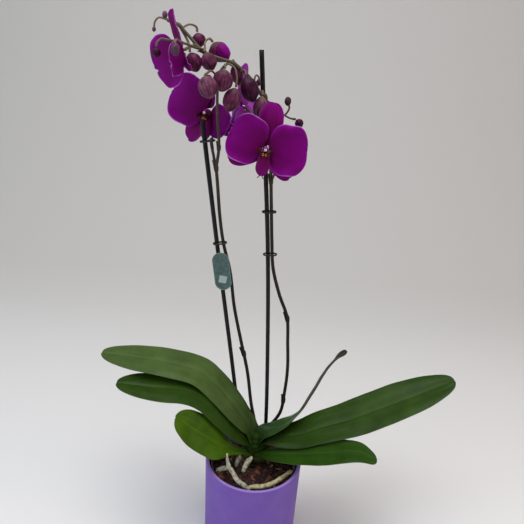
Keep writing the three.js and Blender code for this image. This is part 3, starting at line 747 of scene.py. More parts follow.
BUDS = {
    "bud_arch_top": dict(stem="spike_right", stalk=[[-101, -5, 660], [-94, 2, 664], [-88, 5, 662]],
                         foot=[-87, 5, 657.5], tip=[-84, 5, 643], width=13.5, finish="wine"),
    "bud_pair_left": dict(stem="spike_right", stalk=[[-83, -9, 643], [-88, -12, 645], [-91, -16, 642]],
                          foot=[-91, -18, 638], tip=[-83, -18, 620], width=16, finish="wine"),
    "bud_pair_right": dict(stem="spike_right", stalk=[[-79, -9, 640], [-78, -14, 642]],
                           foot=[-76, -18, 639], tip=[-68, -20, 622], width=15, finish="mauve"),
    "bud_half_open": dict(stem="spike_right", stalk=[[-77, -9, 640], [-78, 0, 649], [-74, 5, 652]],
                          foot=[-71, 6, 649], tip=[-59, 6, 631], width=20, finish="mauve"),
    "bud_behind": dict(stem="spike_right", stalk=[[-50, -6, 632], [-49, 0, 633]],
                       foot=[-48, 1, 630], tip=[-42, 2, 609], width=12, finish="wine"),
    "bud_dark": dict(stem="spike_right", stalk=[[-41, -3, 623], [-36, -8, 624]],
                     foot=[-35, -11, 619], tip=[-26, -13, 594], width=18, finish="dark"),
    "bud_node": dict(stem="spike_right", stalk=[[-18, 6, 600], [-17, -2, 605]],
                     foot=[-17, -7, 601], tip=[-20, -9, 576], width=14, finish="grey"),
    "bud_tip_right": dict(stem="spike_right", stalk=[[7, 3, 582], [14, 2, 579]],
                          foot=[20, 2, 578.5], tip=[27, 1, 571], width=9, finish="dark"),
    "bud_side_tip": dict(stem="spike_right", stalk=[[-114, -43, 648], [-118, -43, 644.5]],
                         foot=[-118.5, -43, 640.5], tip=[-119, -44, 631], width=8, finish="dark"),
    "bud_front_left": dict(stem="spike_left", stalk=[[-62, -16, 615], [-68, -30, 622]],
                           foot=[-73, -41, 618], tip=[-66, -46, 597], width=18, finish="grey"),
    "bud_front_middle": dict(stem="spike_left", stalk=[[-57, -17, 626], [-55, -22, 629]],
                             foot=[-55, -26, 625], tip=[-58, -28, 603], width=19, finish="mauve"),
    "bud_front_low": dict(stem="spike_left", stalk=[[-53, -17, 630], [-46, -19, 626], [-43, -23, 617]],
                          foot=[-43.5, -24, 608], tip=[-51, -25, 584], width=17, finish="mauve"),
}
STEMS = {
    "spike_left": dict(
        rods=[
            ([[1, 5, 156], [-1, 12, 162], [-2, 19, 173], [-8, 21, 200], [-16, 19, 253], [-27, 17, 301],
              [-37, 16, 347], [-44, 15, 394], [-53, 14, 429], [-58, 11, 461], [-62, 8, 503], [-64, 6, 522]],
             [STEM_RADIUS, 1.9]),
            ([[-64, 6, 518], [-67, 5, 534], [-70, 4.5, 547], [-70, 5, 553]], [1.8, 1.4]),
            ([[-64, 6, 518], [-61, 1, 544], [-63, -10, 586], [-62, -16, 615], [-59, -17, 624], [-53, -17, 630]],
             [1.8, 1.3]),
        ],
        joints=[(0, [-22, 17.5, 279], 3.0), (0, [-64, 6, 520], 2.7), (2, [-61.5, 1, 543], 2.3)],
        stalks={"flower_left": [[-68, 5, 539], [-69, 13, 542], [-71, 23, 546], [-71, 31, 560]]},
        knobs=[]),
    "spike_right": dict(
        rods=[
            ([[1, 5, 146], [4, 12, 152], [13, 21, 157], [25, 28, 168], [33, 27, 186], [36, 25, 219],
              [37, 23, 256], [34, 21, 297], [30, 19, 335], [18, 18, 366], [8, 18, 400], [4, 17.5, 436],
              [1, 16, 472], [-2, 13, 509], [-5, 10, 543], [-9, 7.5, 575], [-14, 5.5, 598]],
             [STEM_RADIUS, 1.9]),
            ([[-13, 6, 594], [-18, 5, 600], [-29, 1, 615], [-48, -5, 630], [-63, -8, 634], [-78, -9, 639],
              [-96, -6, 655], [-105, -5, 663], [-116, -5, 666]], [1.8, 1.5]),
            ([[-80, -9, 641], [-88, -18, 643], [-93, -30, 645], [-100, -38, 646.5], [-107, -42, 647],
              [-115, -43, 648]], [1.3, 1.1]),
        ],
        joints=[(0, [30, 19, 333], 3.0), (0, [35, 26, 205], 3.0), (0, [-2, 13, 508], 2.7),
                (0, [-15, 5, 598], 2.5), (1, [-48, -5, 630], 2.1), (1, [-78, -9, 639], 2.1),
                (1, [-103, -5, 662], 1.9), (2, [-97, -35, 646], 1.6)],
        stalks={
            "flower_right": [[-1, 13, 508], [2, 4, 524], [-3, -6, 540]],
            "flower_behind": [[-8, 8, 564], [-17, 6, 568], [-26, 14, 577]],
            "flower_top": [[-104, -5, 662], [-98, -4, 653], [-93, -10, 644]],
        },
        knobs=[
            ([[-16, 6, 597], [-1, 4, 589], [7, 3, 582], [12, 3, 589], [10, 4, 596]], 3.6),
            ([[-27, 1, 612], [-25, 4, 620], [-22, 5, 618], [-22, 5, 613]], 2.8),
            ([[-97, -35, 646], [-99, -46, 648], [-99, -54, 646], [-98.5, -56, 639]], 4.4),
            ([[-114, -5, 666], [-117, -5, 668], [-118, -5, 671]], 2.7),
            ([[-114, -5, 666], [-124, -5, 668], [-128, -5, 664], [-129, -5, 657]], 1.9),
        ]),
}


def stem_finish(name, low, middle, high, bottom, top, rough):
    """Stem skin: from dark to pale between two heights, flecked along its length, with a faint waxy sheen."""
    material, tree, shader = finish_of(name, rough, {"Specular IOR Level": 0.2})
    place = node(tree, "ShaderNodeTexCoord").outputs["Object"]
    height = node(tree, "ShaderNodeSeparateXYZ", {"Vector": place}).outputs["Z"]
    climb = node(tree, "ShaderNodeMapRange", {
        "Value": height, "From Min": bottom, "From Max": top, "To Max": 0.7})
    stretch = node(tree, "ShaderNodeMapping", {"Vector": place, "Scale": (1.0, 1.0, 0.25)})
    flecks = node(tree, "ShaderNodeTexNoise", {
        "Vector": stretch.outputs["Vector"], "Scale": 520.0, "Detail": 5.0})
    share = node(tree, "ShaderNodeMath", {0: flecks.outputs["Fac"], 1: 0.4, 2: climb.outputs["Result"]},
                 operation="MULTIPLY_ADD")
    skin = node(tree, "ShaderNodeValToRGB", {"Fac": share.outputs["Value"]},
                stops=[(0.1, low), (0.95, high), (0.5, middle)])
    tree.links.new(skin.outputs["Color"], shader["Base Color"])
    bump = node(tree, "ShaderNodeBump", {
        "Height": flecks.outputs["Fac"], "Strength": 0.35, "Distance": 0.4 * MM})
    tree.links.new(bump.outputs["Normal"], shader["Normal"])
    return material


STEM_FINISHES = [
    stem_finish("woody_flower_stem", 0x120E0B, 0x2C261E, 0x5C5444, 0.36, 0.64, 0.5),
    stem_finish("green_flower_stalk", 0x33241F, 0x584240, 0x786454, 0.5, 0.66, 0.5),
    stem_finish("papery_bract", 0x261C14, 0x4A3C2C, 0x74664E, 0.3, 0.66, 0.8),
    stem_finish("unripe_bud_knob", 0x1E0A14, 0x401E32, 0x664860, 0.56, 0.68, 0.5),
]


def flower_frame(flower):
    """Where a flower's middle sits and which way it looks: X to its right, Y up and Z forwards."""
    front = Vector(flower["facing"]).normalized()
    right = Vector((0, 0, 1)).cross(front).normalized()
    turn = Matrix((right, front.cross(right), front)).transposed()
    roll = Matrix.Rotation(math.radians(flower["roll"]), 3, "Z")
    return Matrix.Translation(Vector(flower["at"]) * MM) @ (turn @ roll).to_4x4()


WOODY, GREEN, PAPERY, KNOBBY = range(4)


def finished_with(piece, index, finishes=STEM_FINISHES):
    """Give a part all of its piece's finishes, so that the parts can be joined, and use one of them."""
    for material in finishes:
        piece.data.materials.append(material)
    for face in piece.data.polygons:
        face.material_index = index
    return piece


def bract(middle, heading, radius, length):
    """A papery scale that hugs the stem above a joint."""
    out = heading.cross(Vector((0.3, 1, 0.2))).normalized()
    foot = middle / MM
    path = [list(foot + out * (radius + lift) + heading * along)
            for lift, along in ((0.0, -1.5), (0.35, 0.3 * length), (0.9, 0.7 * length), (1.6, length))]
    scale = blade(path, out, 2.9 * radius, lambda v: rounded(v, 0.25, 0.85, 0.06, 1.6),
                  lambda u, v, half: -0.62 * half * u * u, across=8, along=10)
    thicken(scale, 0.4 * MM, 0.5)
    return finished_with(scale, PAPERY)


PLACES_ALONG = 400
for name, stem in STEMS.items():
    parts = [finished_with(rod(path, radii, step=3), WOODY) for path, radii in stem["rods"]]
    for index, spot, radius in stem["joints"]:
        at = course(stem["rods"][index][0])
        shares = (step / PLACES_ALONG for step in range(PLACES_ALONG + 1))
        middle, heading = at(min(shares, key=lambda share: (at(share)[0] - Vector(spot) * MM).length))
        reach = 1.9 * radius
        line = [list(middle / MM + heading * along) for along in (-reach, -0.4 * reach, 0.4 * reach, reach)]
        swollen = rod(line, [0.75 * radius, radius, 1.05 * radius, 0.75 * radius], step=0.8)
        parts.append(finished_with(swollen, WOODY))
        parts.append(bract(middle, heading, 0.95 * radius, 3.2 * radius))
    for flower, path in stem["stalks"].items():
        frame_of = flower_frame(FLOWERS[flower])
        back = frame_of @ Vector((0, 0, -1.9 * MM)) / MM
        parts.append(finished_with(rod([*path, list(back)], [1.3, 1.25, 1.7], step=1.5), GREEN))
    for bud in (bud for bud in BUDS.values() if bud["stem"] == name):
        parts.append(finished_with(rod([*bud["stalk"], bud["foot"]], [1.05, 0.95, 1.35], step=1.2), GREEN))
    for path, radius in stem["knobs"]:
        parts.append(finished_with(rod(path, [1.1, 0.9, 1.1], step=1.2), GREEN))
        pick_only()
        bpy.ops.mesh.primitive_uv_sphere_add(segments=18, ring_count=12, radius=radius * MM,
                                             location=Vector(path[-1]) * MM, scale=(1, 1, 1.25))
        knob = bpy.context.object
        settle(knob)
        for vertex in knob.data.vertices:
            vertex.co += 0.12 * radius * MM * noise.noise_vector(vertex.co * 300)
        bpy.ops.object.shade_smooth()
        parts.append(finished_with(knob, KNOBBY))
    hand_over(welded(*parts), name + "_stem", "stem", None, name)

# ---------------------------------------------------------------------------------------------------------
# Clips: small black spring loops of moulded plastic, long ovals with straight sides, each snapped round a
# stake and the stem beside it. Each has its place in millimetres and its lean in degrees.
CLIP_RADIUS = 4.05 * MM
CLIP_WIRE = 0.62 * MM
CLIP_STRETCH = 4 * MM
CLIP_HEIGHTENING = 1.7
CLIPS = {
    "clip_left_lower": (-57.4, 14.8, 428, 9),
    "clip_left_upper": (-74, 5.3, 548, 9),
    "clip_right_lower": (3, 17.5, 417, 3),
    "clip_right_upper": (-1.6, 16, 470, 3),
}
clip_plastic, tree, shader = finish_of("moulded_black_plastic", 0.45)
place = node(tree, "ShaderNodeTexCoord").outputs["Object"]
scuffs = node(tree, "ShaderNodeTexNoise", {"Vector": place, "Scale": 500.0, "Detail": 4.0})
black = node(tree, "ShaderNodeValToRGB", {"Fac": scuffs.outputs["Fac"]},
             stops=[(0.4, 0x0A0A0C), (0.75, 0x222226)])
tree.links.new(black.outputs["Color"], shader["Base Color"])
bump = node(tree, "ShaderNodeBump", {"Height": scuffs.outputs["Fac"], "Strength": 0.2, "Distance": 0.2 * MM})
tree.links.new(bump.outputs["Normal"], shader["Normal"])
for name, (x, y, z, lean) in CLIPS.items():
    pick_only()
    bpy.ops.mesh.primitive_torus_add(major_segments=48, minor_segments=10, major_radius=CLIP_RADIUS,
                                     minor_radius=CLIP_WIRE)
    clip = bpy.context.object
    bpy.ops.object.mode_set(mode="EDIT")
    for side in (-1, 1):
        mesh = bmesh.from_edit_mesh(clip.data)
        for vertex in mesh.verts:
            vertex.select_set(side * vertex.co.x > 0.01 * MM)
        mesh.select_flush_mode()
        bmesh.update_edit_mesh(clip.data)
        bpy.ops.transform.translate(value=(side * CLIP_STRETCH, 0, 0))
    bpy.ops.mesh.select_all(action="SELECT")
    bpy.ops.transform.resize(value=(1, 1, CLIP_HEIGHTENING))
    bpy.ops.object.mode_set(mode="OBJECT")
    clip.location = (x * MM, y * MM, (z + 1.1) * MM)
    clip.rotation_euler = (0, math.radians(-lean), 0)
    settle(clip)
    bpy.ops.object.shade_smooth_by_angle(angle=math.radians(40))
    hand_over(clip, name + "_loop", "clip", clip_plastic, name)

# ---------------------------------------------------------------------------------------------------------
# Plant tag: a die-cut tag of 0.8 mm card-stiff plastic with round ends, a raised pale edge and a blank
# panel. It is just in front of the left stake and its stem, and leans as they do.
TAG = dict(at=(-53, 5, 397), lean=-8.6, length=48, width=20, thickness=0.8)
TAG_EDGE = 0.9 * MM
pick_only()
bpy.ops.mesh.primitive_cylinder_add(vertices=48, radius=0.5 * TAG["width"] * MM, depth=TAG["thickness"] * MM,
                                    location=(0, 0, 0.5 * TAG["thickness"] * MM))
tag = bpy.context.object
settle(tag)
bpy.ops.object.mode_set(mode="EDIT")
for side in (-1, 1):
    mesh = bmesh.from_edit_mesh(tag.data)
    for vertex in mesh.verts:
        vertex.select_set(vertex.co.x > -0.01 * MM if side > 0 else vertex.co.x < -0.01 * MM)
    mesh.select_flush_mode()
    bmesh.update_edit_mesh(tag.data)
    bpy.ops.transform.translate(value=(side * 0.5 * (TAG["length"] - TAG["width"]) * MM, 0, 0))
pick_faces(tag, lambda face: abs(face.normal.z) > 0.9)
bpy.ops.mesh.inset(thickness=TAG_EDGE)
bpy.ops.mesh.inset(thickness=0.35 * MM)
bpy.ops.transform.resize(value=(1, 1, 0.7))
bpy.ops.object.mode_set(mode="OBJECT")
bpy.ops.object.shade_smooth_by_angle(angle=math.radians(30))

# Printed polypropylene: teal with a paler raised edge and a pale blank panel, lightly scuffed
tag_print, tree, shader = finish_of("printed_polypropylene", 0.42)
place = node(tree, "ShaderNodeTexCoord").outputs["Object"]
scuffs = node(tree, "ShaderNodeTexNoise", {"Vector": place, "Scale": 260.0, "Detail": 5.0})
teal = node(tree, "ShaderNodeValToRGB", {"Fac": scuffs.outputs["Fac"]},
            stops=[(0.4, 0x35504E), (0.7, 0x4C6764)])
middle = node(tree, "ShaderNodeMapping", {
    "Vector": place, "Location": (0.1087, 0.0, -0.375), "Rotation": (0, -0.15, 0)})
panel = node(tree, "ShaderNodeSeparateXYZ", {"Vector": middle.outputs["Vector"]})
PANEL_REACH = 4.6 * MM
masks = []
for socket in ("X", "Z"):
    off = node(tree, "ShaderNodeMath", {0: panel.outputs[socket]}, operation="ABSOLUTE")
    masks.append(node(tree, "ShaderNodeMath", {0: off.outputs["Value"], 1: PANEL_REACH}, operation="LESS_THAN"))
inside = node(tree, "ShaderNodeMath", {0: masks[0].outputs["Value"], 1: masks[1].outputs["Value"]},
              operation="MULTIPLY")
blank = node(tree, "ShaderNodeMath", {0: inside.outputs["Value"], 1: 0.8}, operation="MULTIPLY")
printed = node(tree, "ShaderNodeMixRGB", {
    "Fac": blank.outputs["Value"], "Color1": teal.outputs["Color"], "Color2": linear(0xA9B8B4)})
tree.links.new(printed.outputs["Color"], shader["Base Color"])
tag_edge, tree, shader = finish_of("tag_raised_edge", 0.4)
place = node(tree, "ShaderNodeTexCoord").outputs["Object"]
scuffs = node(tree, "ShaderNodeTexNoise", {"Vector": place, "Scale": 300.0, "Detail": 4.0})
pale = node(tree, "ShaderNodeValToRGB", {"Fac": scuffs.outputs["Fac"]},
            stops=[(0.4, 0x4E6E6A), (0.7, 0x6E8C86)])
tree.links.new(pale.outputs["Color"], shader["Base Color"])
tag.data.materials.append(tag_print)
tag.data.materials.append(tag_edge)
for face in tag.data.polygons:
    x, y = max(0.0, abs(face.center.x) - 14 * MM), face.center.y
    face.material_index = 1 if math.hypot(x, y) > 8.95 * MM else 0
turn = Matrix.Rotation(math.radians(TAG["lean"]), 4, "Y") @ Matrix.Rotation(math.pi / 2, 4, "X")
tag.matrix_world = Matrix.Translation(Vector(TAG["at"]) * MM) @ turn @ Matrix.Rotation(math.pi / 2, 4, "Z")
settle(tag)
hand_over(tag, "plant_tag_plate", "plant_tag", None, "plant_tag")

# ---------------------------------------------------------------------------------------------------------
# Flowers: each has three narrow sepals behind, two broad petals in front of them, and a lip. Petals are soft,
# velvety tissue with long veins, a crease and a wavy margin, drawn thicker here than the real half millimetre.
PETAL_THICKNESS = 0.9 * MM
SEPAL_SHAPES = {"top": (47, 27), "side": (41, 22)}
PETAL_SHAPE = (41, 50)


def petal_finish(name, heart, body, margin, vein, light, lines=0.32):
    """Petal skin: velvety and slightly see-through, wine-dark towards the middle of the flower, veined about a
    millimetre apart, painted lighter violet towards its outer parts as a highlight, and painted paler in a thin
    line along the margin as light scattered through the thin edge."""
    material, tree, shader = finish_of(name, 0.5, {
        "Sheen Weight": 0.02, "Sheen Roughness": 0.4, "Sheen Tint": linear(0xE0A0F0),
        "Specular IOR Level": 0.06,
        "Subsurface Weight": light, "Subsurface Radius": (4 * MM, 1 * MM, 4 * MM), "Subsurface Scale": 1.0})
    place = node(tree, "ShaderNodeTexCoord").outputs["Object"]
    uv, off, along = across_and_along(tree)
    cloud = node(tree, "ShaderNodeTexNoise", {"Vector": place, "Scale": 90.0, "Detail": 4.0})
    wander = node(tree, "ShaderNodeMath", {0: cloud.outputs["Fac"], 1: 0.35, 2: along},
                  operation="MULTIPLY_ADD")
    flesh = node(tree, "ShaderNodeValToRGB", {"Fac": wander.outputs["Value"]},
                 stops=[(0.12, heart), (0.75, body)])
    stretch = node(tree, "ShaderNodeMapping", {"Vector": uv, "Scale": (44.0, 2.2, 1.0)})
    veins = node(tree, "ShaderNodeTexNoise", {
        "Vector": stretch.outputs["Vector"], "Scale": 1.0, "Detail": 3.0, "Distortion": 0.4})
    streak = node(tree, "ShaderNodeMapRange", {
        "Value": veins.outputs["Fac"], "From Min": 0.5, "From Max": 0.7, "To Max": lines})
    veined = node(tree, "ShaderNodeMixRGB", {
        "Fac": streak.outputs["Result"], "Color1": flesh.outputs["Color"], "Color2": linear(vein)})
    # Painted highlight: lighter violet towards the outer parts of each petal, standing in for light from above
    out = node(tree, "ShaderNodeMath", {0: off, 1: along}, operation="MAXIMUM")
    painted_outer_highlight = node(tree, "ShaderNodeMapRange", {
        "Value": out.outputs["Value"], "From Min": 0.45, "From Max": 1.0, "To Max": 0.4},
        interpolation_type="SMOOTHSTEP")
    painted_lit = node(tree, "ShaderNodeMixRGB", {
        "Fac": painted_outer_highlight.outputs["Result"], "Color1": veined.outputs["Color"], "Color2": linear(0x90069A)})
    # Painted light: a paler line along the margin and the end, standing in for light scattered through the thin
    # edge
    side = node(tree, "ShaderNodeMapRange", {"Value": off, "From Min": 0.93, "From Max": 1.0, "To Max": 0.8},
                interpolation_type="SMOOTHSTEP")
    end = node(tree, "ShaderNodeMapRange", {"Value": along, "From Min": 0.955, "From Max": 1.0, "To Max": 0.8},
               interpolation_type="SMOOTHSTEP")
    rim = node(tree, "ShaderNodeMath", {0: side.outputs["Result"], 1: end.outputs["Result"]},
               operation="MAXIMUM")
    away = node(tree, "ShaderNodeMapRange", {"Value": along, "From Min": 0.25, "From Max": 0.5})
    painted_edge_light = node(tree, "ShaderNodeMath", {0: rim.outputs["Value"], 1: away.outputs["Result"]},
                  operation="MULTIPLY")
    edged = node(tree, "ShaderNodeMixRGB", {
        "Fac": painted_edge_light.outputs["Value"], "Color1": painted_lit.outputs["Color"], "Color2": linear(margin)})
    tree.links.new(edged.outputs["Color"], shader["Base Color"])
    bump = node(tree, "ShaderNodeBump", {
        "Height": veins.outputs["Fac"], "Strength": 0.35, "Distance": 0.5 * MM})
    tree.links.new(bump.outputs["Normal"], shader["Normal"])
    return material


PETAL_FINISHES = {
    "petal": petal_finish("velvety_petal", 0x520038, 0x6C0264, 0xCC90D6, 0x4C023E, 0.1),
    "sepal": petal_finish("velvety_sepal", 0x4A0030, 0x6C0656, 0xAC609C, 0x3C0428, 0.1, lines=0.8),
    # Painted light: lighter lilac copies of the petal and sepal finishes for the flower behind, standing in for
    # light shining through it
    "backlit": petal_finish("velvety_petal_backlit", 0x6E1878, 0xA04CBC, 0xD8A0E4, 0x7A2090, 0.2),
    "backlit_sepal": petal_finish("velvety_sepal_backlit", 0x70106A, 0x9A3AA8, 0xD090D8, 0x6A1466, 0.2),
    # Painted light: the cut edges of petals and sepals get this paler finish, standing in for light scattered
    # through the thin edge
    "rim": petal_finish("petal_margin_painted_light", 0x8E3E9A, 0xB468C2, 0xC080CC, 0x8A3C98, 0.2),
}


def petal_form(channel, seed, ripple):
    """How a petal stands: dished along its middle, creased down the midline, and wavy at the margin."""
    def form(u, v, half):
        crease = -0.5 * MM * math.exp(-((u / 0.06) ** 2)) * math.sin(math.pi * min(v * 1.2, 1.0))
        far = max(abs(u), max(0.0, v - 0.55) / 0.45)
        wave = ripple * MM * far ** 3 * noise.noise(Vector((2.4 * u + seed, 4.2 * v, seed)))
        sway = 0.9 * MM * noise.noise(Vector((1.3 * u, 1.7 * v, seed + 5)))
        return channel * half * u * u + crease + wave + sway * min(1.0, 3 * v)
    return form


def petal(flower, spec, shape, outline, lift, curl, seed, ripple):
    """One petal or sepal, at its angle round the flower, leaning forwards and lifted off what is behind."""
    angle, lean, size, *claws = spec
    claw = claws[0] if claws else 3.5
    reach = size * shape[0] - claw
    path = [[0, 0, 0], [0, 0.35 * reach, 0.4 * curl], [0, 0.7 * reach, 0.3 * curl], [0, reach, -curl]]
    piece = blade(path, (0, 0, 1), size * shape[1], outline, petal_form(0.06, seed, ripple),
                  across=18, along=18)
    swing = math.radians(angle - 90)
    at = Vector((-claw * math.sin(swing), claw * math.cos(swing), lift)) * MM
    piece.matrix_world = (flower_frame(flower) @ Matrix.Translation(at) @ Matrix.Rotation(swing, 4, "Z")
                          @ Matrix.Rotation(math.radians(lean), 4, "X"))
    settle(piece)
    return piece


# The lip: a blunt column with a pale cap, two raised side lobes, a spotted yellow callus between them, and a
# narrow middle lobe that hangs forwards and ends in two curled tendrils
lip_flesh, tree, shader = finish_of("glossy_lip", 0.38, {
    "Specular IOR Level": 0.08, "Subsurface Weight": 0.08, "Subsurface Radius": (3 * MM, 1 * MM, 2 * MM)})
place = node(tree, "ShaderNodeTexCoord").outputs["Object"]
uv, off, along = across_and_along(tree)
stretch = node(tree, "ShaderNodeMapping", {"Vector": uv, "Scale": (16.0, 2.0, 1.0)})
veins = node(tree, "ShaderNodeTexNoise", {"Vector": stretch.outputs["Vector"], "Scale": 1.0, "Detail": 3.0})
blush = node(tree, "ShaderNodeValToRGB", {"Fac": along},
             stops=[(0.05, 0x420214), (0.9, 0x7A0470), (0.4, 0x5C0242)])
streak = node(tree, "ShaderNodeMapRange", {
    "Value": veins.outputs["Fac"], "From Min": 0.5, "From Max": 0.7, "To Max": 0.5})
veined = node(tree, "ShaderNodeMixRGB", {
    "Fac": streak.outputs["Result"], "Color1": blush.outputs["Color"], "Color2": linear(0x440428)})
tree.links.new(veined.outputs["Color"], shader["Base Color"])
bump = node(tree, "ShaderNodeBump", {"Height": veins.outputs["Fac"], "Strength": 0.3, "Distance": 0.3 * MM})
tree.links.new(bump.outputs["Normal"], shader["Normal"])


def spotted(name, ground, spots, scale, start, rough):
    """Waxy tissue of one colour with small spots of another."""
    material, tree, shader = finish_of(name, rough, {
        "Specular IOR Level": 0.15, "Subsurface Weight": 0.1, "Subsurface Radius": (2 * MM, 1 * MM, 1 * MM)})
    place = node(tree, "ShaderNodeTexCoord").outputs["Object"]
    dots = node(tree, "ShaderNodeTexNoise", {"Vector": place, "Scale": scale, "Detail": 2.0})
    colour = node(tree, "ShaderNodeValToRGB", {"Fac": dots.outputs["Fac"]},
                  stops=[(start, ground), (start + 0.1, spots)])
    tree.links.new(colour.outputs["Color"], shader["Base Color"])
    bump = node(tree, "ShaderNodeBump", {"Height": dots.outputs["Fac"], "Strength": 0.2, "Distance": 0.2 * MM})
    tree.links.new(bump.outputs["Normal"], shader["Normal"])
    return material


LIP_FINISHES = [
    lip_flesh,
    spotted("waxy_side_lobe", 0x38020E, 0x5E1422, 620.0, 0.62, 0.38),
    spotted("spotted_callus", 0xB86A10, 0xE0B060, 900.0, 0.5, 0.35),
    spotted("column_flesh", 0x700C62, 0x8E2A84, 500.0, 0.45, 0.4),
    spotted("column_cap", 0xC088C8, 0xE4C8E8, 600.0, 0.4, 0.3),
]
FLESH, SIDE_LOBE, CALLUS, COLUMN, CAP = range(5)


def ball(at, size, finish):
    """A small rounded lump with its own three widths, in millimetres."""
    pick_only()
    bpy.ops.mesh.primitive_uv_sphere_add(segments=20, ring_count=12, radius=MM, location=Vector(at) * MM,
                                         scale=size)
    lump = bpy.context.object
    settle(lump)
    for vertex in lump.data.vertices:
        vertex.co += 0.12 * MM * noise.noise_vector(vertex.co * 900)
    bpy.ops.object.shade_smooth()
    return finished_with(lump, finish, LIP_FINISHES)


def lip(frame_of, size):
    """The lip and column of one flower, as one piece."""
    column = rod([[0, 0, -1.2], [0, 0.8, 3.5], [0, 0.4, 7.5], [0, -0.6, 9.2]], [1.5, 2.0, 2.4, 2.2], step=0.6)
    parts = [finished_with(column, COLUMN, LIP_FINISHES), ball([0, -0.8, 9.3], (1.8, 1.5, 1.2), CAP)]
    parts += [ball([x, -5.8, 8.8], (1.2, 1.7, 2.0), CALLUS) for x in (-1.5, 1.5)]
    for side in (-1, 1):
        line = [[0.8 * side, -1.5, 5], [4 * side, -4.2, 7.5], [6.4 * side, -3.4, 10.5], [5.6 * side, -0.6, 13]]
        lobe = blade(line, (0.5 * side, 0.5, 1), 9, lambda v: rounded(v, 0.6, 0.35, 0.25, 2),
                     lambda u, v, half: 0.35 * half * u * u, across=10, along=12)
        thicken(finished_with(lobe, SIDE_LOBE, LIP_FINISHES), 0.7 * MM, 0.4)
        parts.append(lobe)
        tendril = rod([[0.9 * side, -26.5, 8.2], [2.2 * side, -29.5, 7.4], [3.4 * side, -30.5, 9.0],
                       [3.0 * side, -29.4, 10.4]], [0.55, 0.4, 0.25], step=0.5, bevel=3)
        parts.append(finished_with(tendril, FLESH, LIP_FINISHES))
    middle = blade([[0, -2, 4.5], [0, -8, 7.8], [0, -17, 9.6], [0, -28, 7.8]], (0, 0, 1), 14.5,
                   lambda v: rounded(v, 0.72, 0.5, 0.2, 1.7),
                   lambda u, v, half: -0.28 * half * u * u + 0.7 * MM * math.exp(-((u / 0.12) ** 2)),
                   across=14, along=20)
    thicken(middle, 1.2 * MM, 0.4)
    parts.append(finished_with(middle, FLESH, LIP_FINISHES))
    whole = welded(*parts)
    whole.matrix_world = frame_of @ Matrix.Scale(size, 4)
    settle(whole)
    return whole


SEPAL_OUTLINE = (0.5, 0.26, 0.12, 2.2)
PETAL_WIDEST = 0.56


def petal_outline(v):
    """Share of a petal's full width: a narrow claw, full shoulders and a blunt end."""
    return rounded(v, PETAL_WIDEST, 0.2, 0.2, 2.8 if v < PETAL_WIDEST else 2.3)


def uneven(v, seed):
    """A grown outline is never true: a few per cent wider here and narrower there."""
    return 1 + 0.05 * noise.noise(Vector((4.5 * v, 2.3 * seed, 0)))


for number, (name, flower) in enumerate(FLOWERS.items()):
    backlit = name == "flower_behind"
    for index, (part, spec) in enumerate(zip(("top", "left", "right"), flower["sepals"])):
        shape = SEPAL_SHAPES["top" if part == "top" else "side"]
        seed = 10 * number + index
        piece = petal(flower, spec, shape, lambda v: rounded(v, *SEPAL_OUTLINE) * uneven(v, seed),
                      lift=0, curl=2, seed=seed, ripple=2.2)
        piece.data.materials.append(PETAL_FINISHES["backlit_sepal" if backlit else "sepal"])
        piece.data.materials.append(PETAL_FINISHES["rim"])
        thicken(piece, PETAL_THICKNESS, 0.4, rim_finish=1)
        hand_over(piece, f"{name}_sepal_{part}_blade", "sepal", None, f"{name}_sepal_{part}")
    for index, (part, spec) in enumerate(zip(("left", "right"), flower["petals"])):
        seed = 10 * number + index + 5
        piece = petal(flower, spec, PETAL_SHAPE, lambda v: petal_outline(v) * uneven(v, seed),
                      lift=2.6, curl=2.5, seed=seed, ripple=4.2)
        piece.data.materials.append(PETAL_FINISHES["backlit" if backlit else "petal"])
        piece.data.materials.append(PETAL_FINISHES["rim"])
        thicken(piece, PETAL_THICKNESS, 0.4, rim_finish=1)
        hand_over(piece, f"{name}_petal_{part}_blade", "petal", None, f"{name}_petal_{part}")
    piece = lip(flower_frame(flower), flower["lip"])
    hand_over(piece, f"{name}_lip_and_column", "lip", None, f"{name}_lip")

# ---------------------------------------------------------------------------------------------------------
# Buds: closed eggs of three thick sepals that meet in sunk seams, ribbed with dark veins from a greenish foot
# to a blunt point. The biggest has begun to part and shows a petal.


